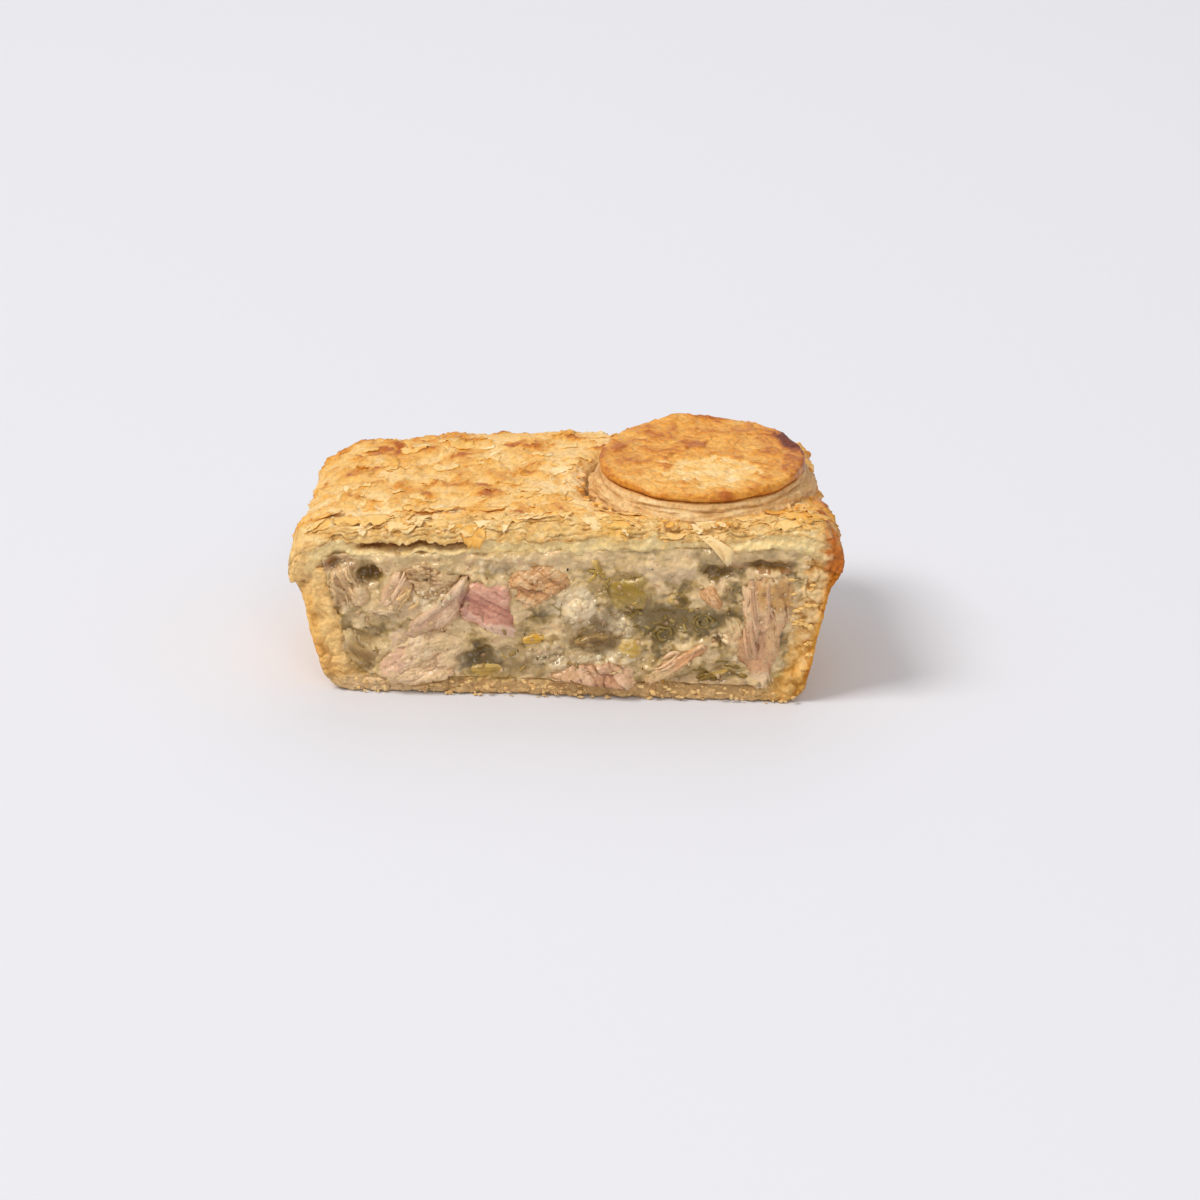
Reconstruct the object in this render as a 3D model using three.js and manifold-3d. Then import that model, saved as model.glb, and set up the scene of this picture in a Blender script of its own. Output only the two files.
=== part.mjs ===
// Half of an oblong chicken and leek pie, standing on its flat base with the cut face at the front (-Y).
// A shortcrust case holds a creamy filling with chicken and leek pieces at the cut, a flaky lid closes it,
// and a round of puff pastry sits on the lid. Millimetres, +Z up, origin at the middle of the flat base.
import * as THREE from "three";
import { ConvexGeometry } from "three/addons/geometries/ConvexGeometry.js";
import { mergeVertices } from "three/addons/utils/BufferGeometryUtils.js";
import Module from "manifold-3d";

const wasm = await Module();
wasm.setup();

// Driving dimensions of the pie
const DEPTH = 68; // cut face to back rim
const CUT_Y = -DEPTH / 2;
const BASE_WIDTH = 108.4;
const WALL_TOP_WIDTH = 121.2; // outside of the wall, under the rim
const RIM_WIDTH = 125; // outside of the rim and the lid's edge
const RIM_HEIGHT = 32.2; // seam between case and lid, at the middle
const RIM_TILT = 2.4; // the right end stands this much higher than the middle, the left end lower
const BACK_TAPER = 7; // the back wall leans out by this much from base to rim
const BACK_CORNER = 15; // plan radius of the two back corners
const SKEW = 0.15; // the right side runs inwards this much for each mm behind the cut
const FOOT_ROUND = 4.5; // rounding where wall meets base
const WALL = 6; // thickness of the case wall
const FLOOR = 4; // thickness of the case floor
const FLOOR_ROUND = 7; // inner rounding where wall meets floor
const LIP_DROP = 9; // height over which the wall flares out into the rim
const WALL_ROUGH = 0.35; // dents in the outside of the wall
const CUT_ROUGH = 0.4; // crumbly relief of the cut through the wall
const DENT_SIZE = 4; // width of those dents
const GAP = 0.35; // clearance between neighbouring solids
const BEYOND = 5; // how far a cutting shape runs past what it cuts

// Driving dimensions of the lid
const EDGE_THICKNESS = 3.6; // lid thickness at its outer edge
const SHOULDER_RISE = 6.2; // from the lid's edge up to its flat top
const SHOULDER_RUN = 13; // plan width of that rounded shoulder
const CROWN = 1.1; // extra height at the middle of the top
const UNDERSIDE_RISE = 2.9; // from the rim up to the lid's underside
const EDGE_ROUND = 0.9; // how far the middle of the lid's edge bulges
const UNDER_SPARE = 1.5; // slab below the underside, cut away
const CRAG = 1.0; // height of the blisters and crags on the top
const BLISTER_SIZE = 5; // width of the larger ones
const TEAR = 1.1; // unevenness of the torn front edge
const LAYER_STEP = 0.65; // every other layer of that edge stands out this much
const FLAKE_THICKNESS = 0.9;
const FLAKE_SHAPE = 0.68; // width of a flake as a share of its length
const LIP_FLAKES = { count: 10, length: 8, vary: 3, tilt: 10, inside: 2.4 }; // along the torn front edge
const TOP_FLAKES = { count: 7, length: 10, vary: 3, tilt: 4, x: -26, y: 1, spreadX: 26, spreadY: 24 };

// Driving dimensions of the pastry round on top
const ROUND_X = 29.6;
const ROUND_Y = CUT_Y + 28.5;
const ROUND_TOP = 49.4; // height of the middle of its top face
const ROUND_RADIUS = 23.6;
const ROUND_FLARE = 2.6; // the lower layers spread out this much further
const ROUND_LEAN = 1.5; // degrees, down towards the cut face
const ROUND_LAYERS = 7.4; // height of its layered side
const ROUND_THICKNESS = 12; // before its underside is fitted to the lid
const ROUND_UNEVEN = 0.025; // how far from a true circle, as a share of its radius
const ROUND_BLISTER = 0.55; // relief of its top
const MOAT = 1.4; // depth of the sunken ring of lid around the round

// Chicken pieces at the cut: middle on the cut face, length, width, depth into the pie, turn of the length
// from +X towards +Z in degrees, and how far the front stands proud of the cut.
const CHICKEN = {
  chicken_shred_left: { x: -46.3, z: 23.4, length: 13, width: 9.5, depth: 11, turn: -35, proud: 0.6 },
  chicken_strands: { x: -37.6, z: 24.6, length: 13.5, width: 6.5, depth: 9, turn: 62, proud: 0.9 },
  chicken_upper_left: { x: -29.6, z: 28.2, length: 12.5, width: 8.6, depth: 12, turn: -8, proud: 0.4 },
  chicken_fold: { x: -29.5, z: 19.2, length: 23, width: 5.4, depth: 8, turn: 32, proud: 1.1 },
  chicken_pink: { x: -16.6, z: 20.4, length: 15, width: 13.5, depth: 15, turn: -24, proud: 0.2 },
  chicken_brown: { x: -5.2, z: 26.6, length: 17, width: 11.5, depth: 14, turn: -10, proud: 0.5 },
  chicken_lower_left: { x: -32.6, z: 9.4, length: 24, width: 12.5, depth: 14, turn: 14, proud: 0.7 },
  chicken_bottom: { x: 6.6, z: 6.4, length: 20, width: 6, depth: 12, turn: -4, proud: 0.3 },
  chicken_strip: { x: 25.2, z: 9.2, length: 20, width: 4.8, depth: 7, turn: 33, proud: 0.8 },
  chicken_right: { x: 44.2, z: 18.6, length: 27, width: 14, depth: 15, turn: -82, proud: 0.8 },
  chicken_nub: { x: 33.4, z: 25.4, length: 7.6, width: 5.4, depth: 7, turn: -50, proud: 0.6 },
};

// Leek leaves and shreds at the cut: middle on the cut face, length, width, thickness, turn, bow of the
// leaf out of the cut, and how far its front stands proud.
const LEEK_LEAVES = {
  leek_leaf_left: { x: -47.8, z: 11.6, length: 13, width: 8, thick: 1.5, turn: -62, bow: 1.0, proud: 0.2 },
  leek_leaf_green: { x: 14.2, z: 26.2, length: 11, width: 7.4, thick: 1.4, turn: -6, bow: 0.8, proud: 0.1 },
  leek_curl: { x: 24.8, z: 25.0, length: 8, width: 4.2, thick: 1.5, turn: -16, bow: 0.9, proud: 0.5 },
  leek_shred_top: { x: 8.0, z: 30.6, length: 7.6, width: 2.8, thick: 1.1, turn: -58, bow: 0.5, proud: 0.4 },
  leek_yellow: { x: -7.4, z: 13.8, length: 8, width: 3, thick: 1.2, turn: 6, bow: 0.6, proud: 0.5 },
  leek_yellow_low: { x: -17.6, z: 6.2, length: 11, width: 3.6, thick: 1.2, turn: 4, bow: 0.5, proud: 0.4 },
  leek_square: { x: 14.6, z: 13.0, length: 6, width: 4.6, thick: 1.6, turn: -12, bow: 0.5, proud: 0.7 },
  leek_dark_strip: { x: 5.2, z: 14.2, length: 9.5, width: 2.8, thick: 1.2, turn: 14, bow: 0.7, proud: 0.3 },
  leek_sliver: { x: 33.6, z: 6.6, length: 8.6, width: 2.2, thick: 1.0, turn: 12, bow: 0.4, proud: 0.3 },
};

// Sauce at the cut, behind the pieces
const SAUCE_RECESS = 1.9; // behind the cut face
const SAUCE_RELIEF = 1.1; // height of its lumps
const CURD_SIZE = 6; // width of its lumps
const CAVITY_TOP = RIM_HEIGHT + UNDERSIDE_RISE + BEYOND;

// Rolled leek hearts seen end on: middle, outer radius, turns of the roll, and how far they stand proud.
const LEEK_ROLLS = {
  leek_roll_upper: { x: 31.6, z: 19.2, radius: 2.9, turns: 1.7, proud: 0.5 },
  leek_roll_lower: { x: 22.4, z: 15.6, radius: 2.5, turns: 1.5, proud: 0.3 },
};
const LEAF_WAVE = 0.4; // waviness of the leaves
const ROLL_LEAF = 0.75; // thickness of the rolled leaf
const ROLL_DEPTH = 5; // length of the roll into the pie

// Finishes, and the tints of the pieces that differ from the rest of their kind
const PASTRY = { color: 0xe2b06c, roughness: 0.7 };
const LID_PASTRY = { color: 0xe8b066, roughness: 0.55 };
const ROUND_PASTRY = { color: 0xdb9a4e, roughness: 0.5 };
const SAUCE = { color: 0xcbb083, roughness: 0.35 };
const MEAT = { color: 0xc69a6f, roughness: 0.5 };
const LEAF = { color: 0xa58a3e, roughness: 0.35 };
const TINTS = {
  chicken_pink: 0xb27c63,
  chicken_strip: 0xcf9468,
  chicken_bottom: 0xba9067,
  leek_leaf_left: 0xaf8c57,
  leek_leaf_green: 0x9f7f3a,
  leek_dark_strip: 0x7d6a33,
  leek_yellow: 0xc9992f,
  leek_yellow_low: 0xba8f3a,
  leek_square: 0xd6c283,
};

const mix = (a, b, t) => a + (b - a) * t;
const smooth = THREE.MathUtils.smoothstep;
const radians = THREE.MathUtils.degToRad;

// A repeatable number from 0 to 1 for a lattice point.
function hash(i, j, k) {
  let h = Math.imul(i, 374761393) + Math.imul(j, 668265263) + Math.imul(k, 1274126177);
  h = Math.imul(h ^ (h >>> 13), 1103515245);
  return ((h ^ (h >>> 16)) >>> 0) / 4294967296;
}

// Smooth lattice noise from -1 to 1.
function noise(x, y, z) {
  const [i, j, k] = [Math.floor(x), Math.floor(y), Math.floor(z)];
  const ease = (t) => t * t * (3 - 2 * t);
  const [u, v, w] = [ease(x - i), ease(y - j), ease(z - k)];
  const edge = (dj, dk) => mix(hash(i, j + dj, k + dk), hash(i + 1, j + dj, k + dk), u);
  const face = (dk) => mix(edge(0, dk), edge(1, dk), v);
  return 2 * mix(face(0), face(1), w) - 1;
}

// A box of nx by ny by nz cells whose points (u, v, w), each from 0 to 1, go where place says.
function formed(nx, ny, nz, place) {
  const box = new THREE.BoxGeometry(1, 1, 1, nx, ny, nz);
  box.deleteAttribute("normal");
  box.deleteAttribute("uv");
  const geometry = mergeVertices(box, 1e-6);
  const points = geometry.getAttribute("position");
  for (let n = 0; n < points.count; n++) {
    const [u, v, w] = [points.getX(n) + 0.5, points.getY(n) + 0.5, points.getZ(n) + 0.5];
    points.setXYZ(n, ...place(u, v, w));
  }
  return geometry;
}

// Closed geometry to a solid that can be joined and cut, and back.
function toSolid(geometry) {
  const bare = geometry.clone();
  bare.deleteAttribute("normal");
  bare.deleteAttribute("uv");
  const merged = mergeVertices(bare, 1e-4);
  const vertProperties = new Float32Array(merged.getAttribute("position").array);
  const triVerts = new Uint32Array(merged.index.array);
  return new wasm.Manifold(new wasm.Mesh({ numProp: 3, vertProperties, triVerts }));
}

function toGeometry(solid) {
  const made = solid.getMesh();
  const geometry = new THREE.BufferGeometry();
  geometry.setAttribute("position", new THREE.BufferAttribute(new Float32Array(made.vertProperties), 3));
  geometry.setIndex(new THREE.BufferAttribute(new Uint32Array(made.triVerts), 1));
  geometry.computeVertexNormals();
  return geometry;
}

// The largest body of a solid that a cut may have split.
function largest(solid) {
  const bodies = solid.decompose();
  return bodies.reduce((best, body) => (body.volume() > best.volume() ? body : best));
}

// Height of the seam between case and lid: the pie stands higher at its right end.
const rimHeight = (x) => RIM_HEIGHT + (RIM_TILT * x) / (RIM_WIDTH / 2);

// Outside of the wall at a height: half its width and the back's y, with the foot rounded and the rim flared.
function wallOutside(z, x) {
  const share = z / RIM_HEIGHT;
  const lift = Math.max(0, FOOT_ROUND - z);
  const foot = FOOT_ROUND - Math.sqrt(FOOT_ROUND ** 2 - lift ** 2);
  const flare = ((RIM_WIDTH - WALL_TOP_WIDTH) / 2) * smooth(z, rimHeight(x) - LIP_DROP, rimHeight(x) - 1);
  return {
    half: mix(BASE_WIDTH, WALL_TOP_WIDTH, share) / 2 - foot + flare,
    back: DEPTH / 2 - BACK_TAPER * (1 - share) - foot - 0.8 * flare,
  };
}

// Plan position for (u, v): v runs from the cut face to the back, along a straight side and then round the
// back corner, and u runs from the left side to the right side at that v.
const STRAIGHT_SHARE = 0.62;
function plan(u, v, half, back, corner, front = CUT_Y) {
  const side = back - corner;
  if (v <= STRAIGHT_SHARE) {
    return [mix(-half, half, u), mix(front, side, v / STRAIGHT_SHARE)];
  }
  const angle = ((v - STRAIGHT_SHARE) / (1 - STRAIGHT_SHARE)) * (Math.PI / 2);
  const reach = half - corner + corner * Math.cos(angle);
  return [mix(-reach, reach, u), side + corner * Math.sin(angle)];
}

// The right half of the plan drawn in towards the back, because the cut isn't square to the pie's sides.
const narrowed = (x, y) => (x > 0 ? x * (1 - (SKEW * (y - CUT_Y)) / (RIM_WIDTH / 2)) : x);

// Distance inwards from the outer edge of the lid, leaving out the cut face.
function inset(x, y) {
  const [half, back] = [RIM_WIDTH / 2, DEPTH / 2];
  const [a, b] = [half - Math.abs(x), back - y];
  if (a >= BACK_CORNER || b >= BACK_CORNER) return Math.min(a, b);
  return BACK_CORNER - Math.hypot(BACK_CORNER - a, BACK_CORNER - b);
}

// Quarter-round rise from 0 at the edge to 1 at run.
const shoulder = (distance, run) => Math.sqrt(1 - (1 - THREE.MathUtils.clamp(distance / run, 0, 1)) ** 2);

// Top of the lid without its crags: a rounded shoulder up to a slightly crowned top, sunk round the disc.
function lidTop(x, y) {
  const crown = CROWN * (1 - (x / (RIM_WIDTH / 2)) ** 2) * (1 - (y / (DEPTH / 2)) ** 2);
  const fromRound = Math.hypot(narrowed(x, y) - ROUND_X, y - ROUND_Y) - ROUND_RADIUS;
  const moat = MOAT * smooth(fromRound, -4, 2) * (1 - smooth(fromRound, 3, 8));
  const edge = rimHeight(x) + EDGE_THICKNESS;
  return edge + SHOULDER_RISE * shoulder(inset(x, y), SHOULDER_RUN) + crown - moat;
}

const lidUnderside = (x, y) => rimHeight(x) + UNDERSIDE_RISE * shoulder(inset(x, y) - WALL, SHOULDER_RUN);

// The shortcrust case: a tapered block with rounded back corners, hollowed out and open at the cut.
function caseSolid() {
  const footLevels = [0, 0.3, 1.3, FOOT_ROUND];
  const levels = 8;
  const outside = formed(18, 11, levels, (u, v, w) => {
    const rung = Math.round(w * levels);
    const [roughX] = plan(u, v, RIM_WIDTH / 2, DEPTH / 2, BACK_CORNER);
    const top = rimHeight(roughX);
    const rise = (rung - footLevels.length + 1) / (levels - footLevels.length + 1);
    const z = rung < footLevels.length ? footLevels[rung] : mix(FOOT_ROUND, top, rise);
    const { half, back } = wallOutside(z, roughX);
    const [x, y] = plan(u, v, half, back, BACK_CORNER);
    const dent = rung > 1 ? WALL_ROUGH * noise(x / DENT_SIZE, y / DENT_SIZE, z / DENT_SIZE) : 0;
    const crumb = CUT_ROUGH * noise((2 * x) / DENT_SIZE, 7, (2 * z) / DENT_SIZE);
    return [narrowed(x * (1 + dent / half), y), y + (v === 0 ? crumb : dent), z];
  });
  return largest(toSolid(outside).subtract(cavity(0, RIM_HEIGHT + RIM_TILT + BEYOND)));
}

// Inside of the case up to a height, drawn in by gap and running out through the cut.
function cavity(gap, top) {
  const floor = FLOOR + gap;
  const roundLevels = [0, 0.7, 2.6, FLOOR_ROUND];
  const levels = 5;
  return toSolid(
    formed(8, 8, levels, (u, v, w) => {
      const rung = Math.round(w * levels);
      const rise = (rung - roundLevels.length + 1) / (levels - roundLevels.length + 1);
      const above = rung < roundLevels.length ? roundLevels[rung] : mix(FLOOR_ROUND, top - floor, rise);
      const z = floor + above;
      const lift = Math.max(0, FLOOR_ROUND - above);
      const fillet = FLOOR_ROUND - Math.sqrt(FLOOR_ROUND ** 2 - lift ** 2);
      const share = z / RIM_HEIGHT;
      const half = mix(BASE_WIDTH, WALL_TOP_WIDTH, share) / 2 - WALL - gap - fillet;
      const back = DEPTH / 2 - BACK_TAPER * (1 - share) - WALL - gap - fillet;
      const [x, y] = plan(u, v, half, back, BACK_CORNER - WALL, CUT_Y - BEYOND);
      return [narrowed(x, y), y, z];
    }),
  );
}

// All the space below the lid's underside.
function underLid() {
  const half = RIM_WIDTH / 2 + BEYOND;
  return toSolid(
    formed(16, 8, 1, (u, v, w) => {
      const [x, y] = [mix(-half, half, u), mix(CUT_Y - BEYOND, DEPTH / 2 + BEYOND, v)];
      return [narrowed(x, y), y, w === 0 ? -BEYOND : lidUnderside(x, y) + GAP];
    }),
  );
}

// The lid before its underside is cut: a slab up to its craggy top, with a bulging edge and a torn front.
const LID_LAYERS = 4;
function lidSlab() {
  return formed(29, 14, LID_LAYERS, (u, v, w) => {
    const ease = 0.5 - 0.5 * Math.cos(Math.PI * u); // closer stations towards the shoulders
    const bulge = EDGE_ROUND * (Math.sin(Math.PI * w) - 1);
    const half = RIM_WIDTH / 2 + bulge;
    const [x, y] = plan(mix(u, ease, 0.45), v, half, DEPTH / 2 + bulge, BACK_CORNER);
    const rung = Math.round(w * LID_LAYERS);
    const [a, b] = [x / BLISTER_SIZE, y / BLISTER_SIZE];
    const crags = CRAG * (noise(a, b, 1) + 0.7 * noise(2.1 * a, 2.1 * b, 2));
    const calm = mix(0.25, 1, shoulder(inset(x, y), BLISTER_SIZE)); // smoother at the very edge
    const [low, high] = [lidUnderside(x, y) - UNDER_SPARE, lidTop(x, y) + calm * crags];
    const torn = TEAR * noise(1.6 * a, rung * 5, 3) + (rung % 2 ? -LAYER_STEP : LAYER_STEP);
    return [narrowed(x, y), v === 0 ? y + torn : y, mix(low, high, w)];
  });
}

// A loose flake of pastry: a thin wavy plate with a ragged outline, tilted on the lid.
function flake(x, y, length, turn, tilt, seed) {
  const plate = formed(4, 2, 1, (u, v, w) => {
    const [a, b] = [2 * u - 1, 2 * v - 1];
    const ragged = 1 + 0.3 * noise(a * 2, b * 2, seed);
    const sag = 0.5 * noise(a * 1.4, b * 1.4, seed + 9);
    const half = (ragged * length) / 2;
    return [a * half, b * half * FLAKE_SHAPE, (w - 0.5) * FLAKE_THICKNESS + sag];
  });
  const pose = new THREE.Euler(radians(tilt), 0, radians(turn), "ZXY");
  const matrix = new THREE.Matrix4().makeRotationFromEuler(pose);
  return plate.applyMatrix4(matrix.setPosition(narrowed(x, y), y, lidTop(x, y) + FLAKE_THICKNESS / 4));
}

function looseFlakes() {
  const flakes = [];
  const lip = LIP_FLAKES;
  for (let n = 0; n < lip.count; n++) {
    const end = RIM_WIDTH / 2 - SHOULDER_RUN;
    const x = mix(-end, end, n / (lip.count - 1)) + 2 * noise(n * 3.7, 1, 5);
    const length = lip.length + lip.vary * noise(n * 2.3, 4, 1);
    flakes.push(flake(x, CUT_Y + lip.inside, length, 8 * noise(n * 1.7, 2, 2), lip.tilt, n));
  }
  const top = TOP_FLAKES;
  const golden = Math.PI * (3 - Math.sqrt(5)); // even spread by the golden angle
  for (let n = 0; n < top.count; n++) {
    const reach = Math.sqrt((n + 0.5) / top.count);
    const x = top.x + top.spreadX * reach * Math.cos(n * golden);
    const y = top.y + top.spreadY * reach * Math.sin(n * golden);
    const length = top.length + top.vary * noise(n * 2.9, 8, 3);
    flakes.push(flake(x, y, length, 180 * noise(n * 1.3, 6, 4), top.tilt, n + 40));
  }
  return wasm.Manifold.union(flakes.map(toSolid));
}

// The slab with its loose flakes, which keep clear of the round on top.
function lidSolid(slab) {
  const clear = ROUND_RADIUS + ROUND_FLARE + 4 * GAP;
  const keepOut = new THREE.CylinderGeometry(clear, clear, 40, 24);
  keepOut.rotateX(Math.PI / 2).translate(ROUND_X, ROUND_Y, ROUND_TOP);
  return largest(slab.add(looseFlakes().subtract(toSolid(keepOut))));
}

// The pastry round: a turned profile with a rolled top edge over flared, layered sides, leaning to the cut.
function roundSolid(slab) {
  const flared = ROUND_RADIUS + ROUND_FLARE;
  const profile = [
    [0, -ROUND_THICKNESS],
    [flared, -ROUND_THICKNESS],
    [flared, -ROUND_LAYERS],
    [flared - 0.3, -0.8 * ROUND_LAYERS],
    [flared - 1.2, -0.69 * ROUND_LAYERS],
    [flared - 1.0, -0.53 * ROUND_LAYERS],
    [ROUND_RADIUS - 0.2, -0.42 * ROUND_LAYERS],
    [ROUND_RADIUS + 0.2, -0.3 * ROUND_LAYERS],
    [ROUND_RADIUS - 0.2, -0.14 * ROUND_LAYERS],
    [ROUND_RADIUS - 1.6, -0.2],
    [ROUND_RADIUS - 5, 0],
    [ROUND_RADIUS - 11, 0.4],
    [ROUND_RADIUS - 17, 0.3],
    [0, 0.2],
  ].map(([r, z]) => new THREE.Vector2(r, z));
  const turned = new THREE.LatheGeometry(profile, 38);
  turned.rotateX(Math.PI / 2); // the lathe turns about Y
  const points = turned.getAttribute("position");
  for (let n = 0; n < points.count; n++) {
    const [x, y, z] = [points.getX(n), points.getY(n), points.getZ(n)];
    const swell = 1 + ROUND_UNEVEN * noise(x / 9, y / 9, z / 3 + 20);
    const blister = z > -1 ? ROUND_BLISTER * noise(x / BLISTER_SIZE, y / BLISTER_SIZE, 31) : 0;
    points.setXYZ(n, x * swell, y * swell, z + blister);
  }
  turned.rotateX(radians(ROUND_LEAN));
  turned.translate(ROUND_X, ROUND_Y, ROUND_TOP);
  return largest(toSolid(turned).subtract(slab.translate(0, 0, GAP)));
}

// A chicken piece: a block with rounded edges drawn out along its muscle fibres, ridged along them, with
// frayed ends and a flat front where the knife went through.
const ROUNDING = 0.5; // from a plain block at 0 to an egg at 1
function chickenLump({ x, z, length, width, depth, turn, proud }, seed, grow) {
  const rounded = (s, t) => mix(1, Math.sqrt(1 - (s * s + t * t) / 2 + (s * s * t * t) / 3), ROUNDING);
  const lump = formed(5, 2, 3, (u, v, w) => {
    const [a, b, c] = [2 * u - 1, 2 * v - 1, 2 * w - 1];
    const [along, into, across] = [a * rounded(b, c), b * rounded(a, c), c * rounded(a, b)];
    const ridged = 1 + 0.16 * noise(a * 1.1, c * 4, seed);
    const frayed = 1 + 0.2 * noise(c * 4, b * 3, seed + 3);
    const ripple = 1 + 0.07 * noise(a * 2, c * 4, seed + 5);
    return [
      along * ((frayed * length) / 2 + grow),
      into * ((ripple * depth) / 2 + grow),
      across * ((ridged * width) / 2 + grow),
    ];
  });
  lump.rotateY(-radians(turn));
  return lump.translate(x, CUT_Y + depth / 2 - proud, z);
}

// The pocket that a chicken piece sits in: the smallest bulging shape round it, a gap wider.
function lumpPocket(spec, seed) {
  const points = chickenLump(spec, seed, GAP).getAttribute("position");
  const corner = (_, n) => new THREE.Vector3().fromBufferAttribute(points, n);
  return toSolid(new ConvexGeometry(Array.from({ length: points.count }, corner)));
}

// A leek leaf: a thin wavy strip with rounded ends, bowed out of the cut face.
function leekLeaf({ x, z, length, width, thick, turn, bow, proud }, seed) {
  const leaf = formed(6, 1, 3, (u, v, w) => {
    const [a, b] = [2 * u - 1, 2 * w - 1];
    const taper = Math.sqrt(1 - 0.86 * a * a);
    const wave = bow * (1 - a * a) + LEAF_WAVE * noise(a * 2, b * 2, seed);
    const across = ((b * taper * width) / 2) * (1 + 0.18 * noise(a * 2.5, 3, seed));
    return [(a * length) / 2, (v - 0.5) * thick - wave, across];
  });
  leaf.rotateY(-radians(turn));
  return toSolid(leaf.translate(x, CUT_Y + thick / 2 + bow - proud, z));
}

// The shallow dish that a leaf lies in.
function leafDish({ x, z, length, width, thick, turn, bow, proud }) {
  const [sink, clear] = [thick + bow - proud + LEAF_WAVE + GAP, 3 * GAP];
  const dish = new THREE.CylinderGeometry(1, 1, sink + BEYOND, 10);
  dish.scale(length / 2 + clear, 1, width / 2 + clear);
  dish.rotateY(-radians(turn));
  return toSolid(dish.translate(x, CUT_Y + (sink - BEYOND) / 2, z));
}

// A rolled leek heart: a spiral strip drawn into the pie.
function leekRoll({ x, z, radius, turns, proud }) {
  const steps = 18;
  const spiral = (n, offset) => {
    const angle = (2 * Math.PI * turns * n) / steps;
    const r = mix(radius * 0.36, radius - ROLL_LEAF / 2, n / steps) + offset;
    return new THREE.Vector2(r * Math.cos(angle), r * Math.sin(angle));
  };
  const count = Array.from({ length: steps + 1 }, (_, n) => n);
  const outer = count.map((n) => spiral(n, ROLL_LEAF / 2));
  const inner = count.map((n) => spiral(n, -ROLL_LEAF / 2)).reverse();
  const roll = new THREE.ExtrudeGeometry(new THREE.Shape([...outer, ...inner]), {
    depth: ROLL_DEPTH,
    bevelEnabled: false,
    steps: 1,
  });
  return toSolid(roll.rotateX(Math.PI / 2).translate(x, CUT_Y + ROLL_DEPTH - proud, z));
}

// The pocket that a roll sits in.
function rollPocket({ x, z, radius, proud }) {
  const pocket = new THREE.CylinderGeometry(radius + GAP, radius + GAP, ROLL_DEPTH + 2 * GAP, 12);
  return toSolid(pocket.translate(x, CUT_Y + ROLL_DEPTH / 2 - proud, z));
}

// The creamy filling: fills the case up to the lid's underside, with a lumpy front at the cut.
function fillingCore(under) {
  const block = formed(20, 1, 6, (u, v, w) => {
    const x = mix(-RIM_WIDTH, RIM_WIDTH, u) / 2;
    const z = w * CAVITY_TOP;
    const [a, c] = [x / CURD_SIZE, z / CURD_SIZE];
    const lumps = noise(a, 3, c) + 0.6 * noise(2.3 * a, 5, 2.3 * c);
    return [x, v === 0 ? CUT_Y + SAUCE_RECESS + SAUCE_RELIEF * lumps : DEPTH / 2, z];
  });
  return toSolid(block).intersect(roomInside(under, GAP));
}

// The space inside case and lid, drawn in by gap and open at the cut.
function roomInside(under, gap) {
  return cavity(gap, CAVITY_TOP).intersect(under.translate(0, 0, -gap));
}

const group = new THREE.Group();
function addPart(name, solid, { color, roughness }) {
  const material = new THREE.MeshStandardMaterial({ color: TINTS[name] ?? color, roughness, metalness: 0 });
  const mesh = new THREE.Mesh(toGeometry(solid), material);
  mesh.name = name;
  group.add(mesh);
}

const under = underLid();
const slab = toSolid(lidSlab()).subtract(under);
addPart("pastry_case", caseSolid(), PASTRY);
addPart("pastry_lid", lidSolid(slab), LID_PASTRY);
addPart("pastry_round", roundSolid(slab), ROUND_PASTRY);

// Pieces keep clear of the case, the lid and the pieces set before them. Each sits in a pocket of filling.
const room = roomInside(under, 2 * GAP);
const rolls = Object.entries(LEEK_ROLLS).map(([name, spec]) => ({
  name,
  finish: LEAF,
  piece: leekRoll(spec),
  pocket: rollPocket(spec),
}));
const leaves = Object.entries(LEEK_LEAVES).map(([name, spec], n) => ({
  name,
  finish: LEAF,
  piece: leekLeaf(spec, 60 + n),
  pocket: leafDish(spec),
}));
const lumps = Object.entries(CHICKEN).map(([name, spec], n) => ({
  name,
  finish: MEAT,
  piece: toSolid(chickenLump(spec, 80 + 7 * n, 0)),
  pocket: lumpPocket(spec, 80 + 7 * n),
}));
const taken = [];
for (const { name, finish, piece, pocket } of [...rolls, ...leaves, ...lumps]) {
  const free = taken.reduce((rest, other) => rest.subtract(other), piece.intersect(room));
  addPart(name, largest(free), finish);
  taken.push(pocket);
}
addPart("creamy_filling", largest(fillingCore(under).subtract(wasm.Manifold.union(taken))), SAUCE);

export default group;
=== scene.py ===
"""Half of an oblong chicken and leek pie, cut open, on a plain pale floor.

Every surface is a formula on a grid, worked out with numpy in millimetres and put into its mesh in metres.
The frame is that of the solids: +X along the cut to the viewer's right, +Y from the cut face to the back,
+Z up from the flat base.
"""
import math

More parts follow.
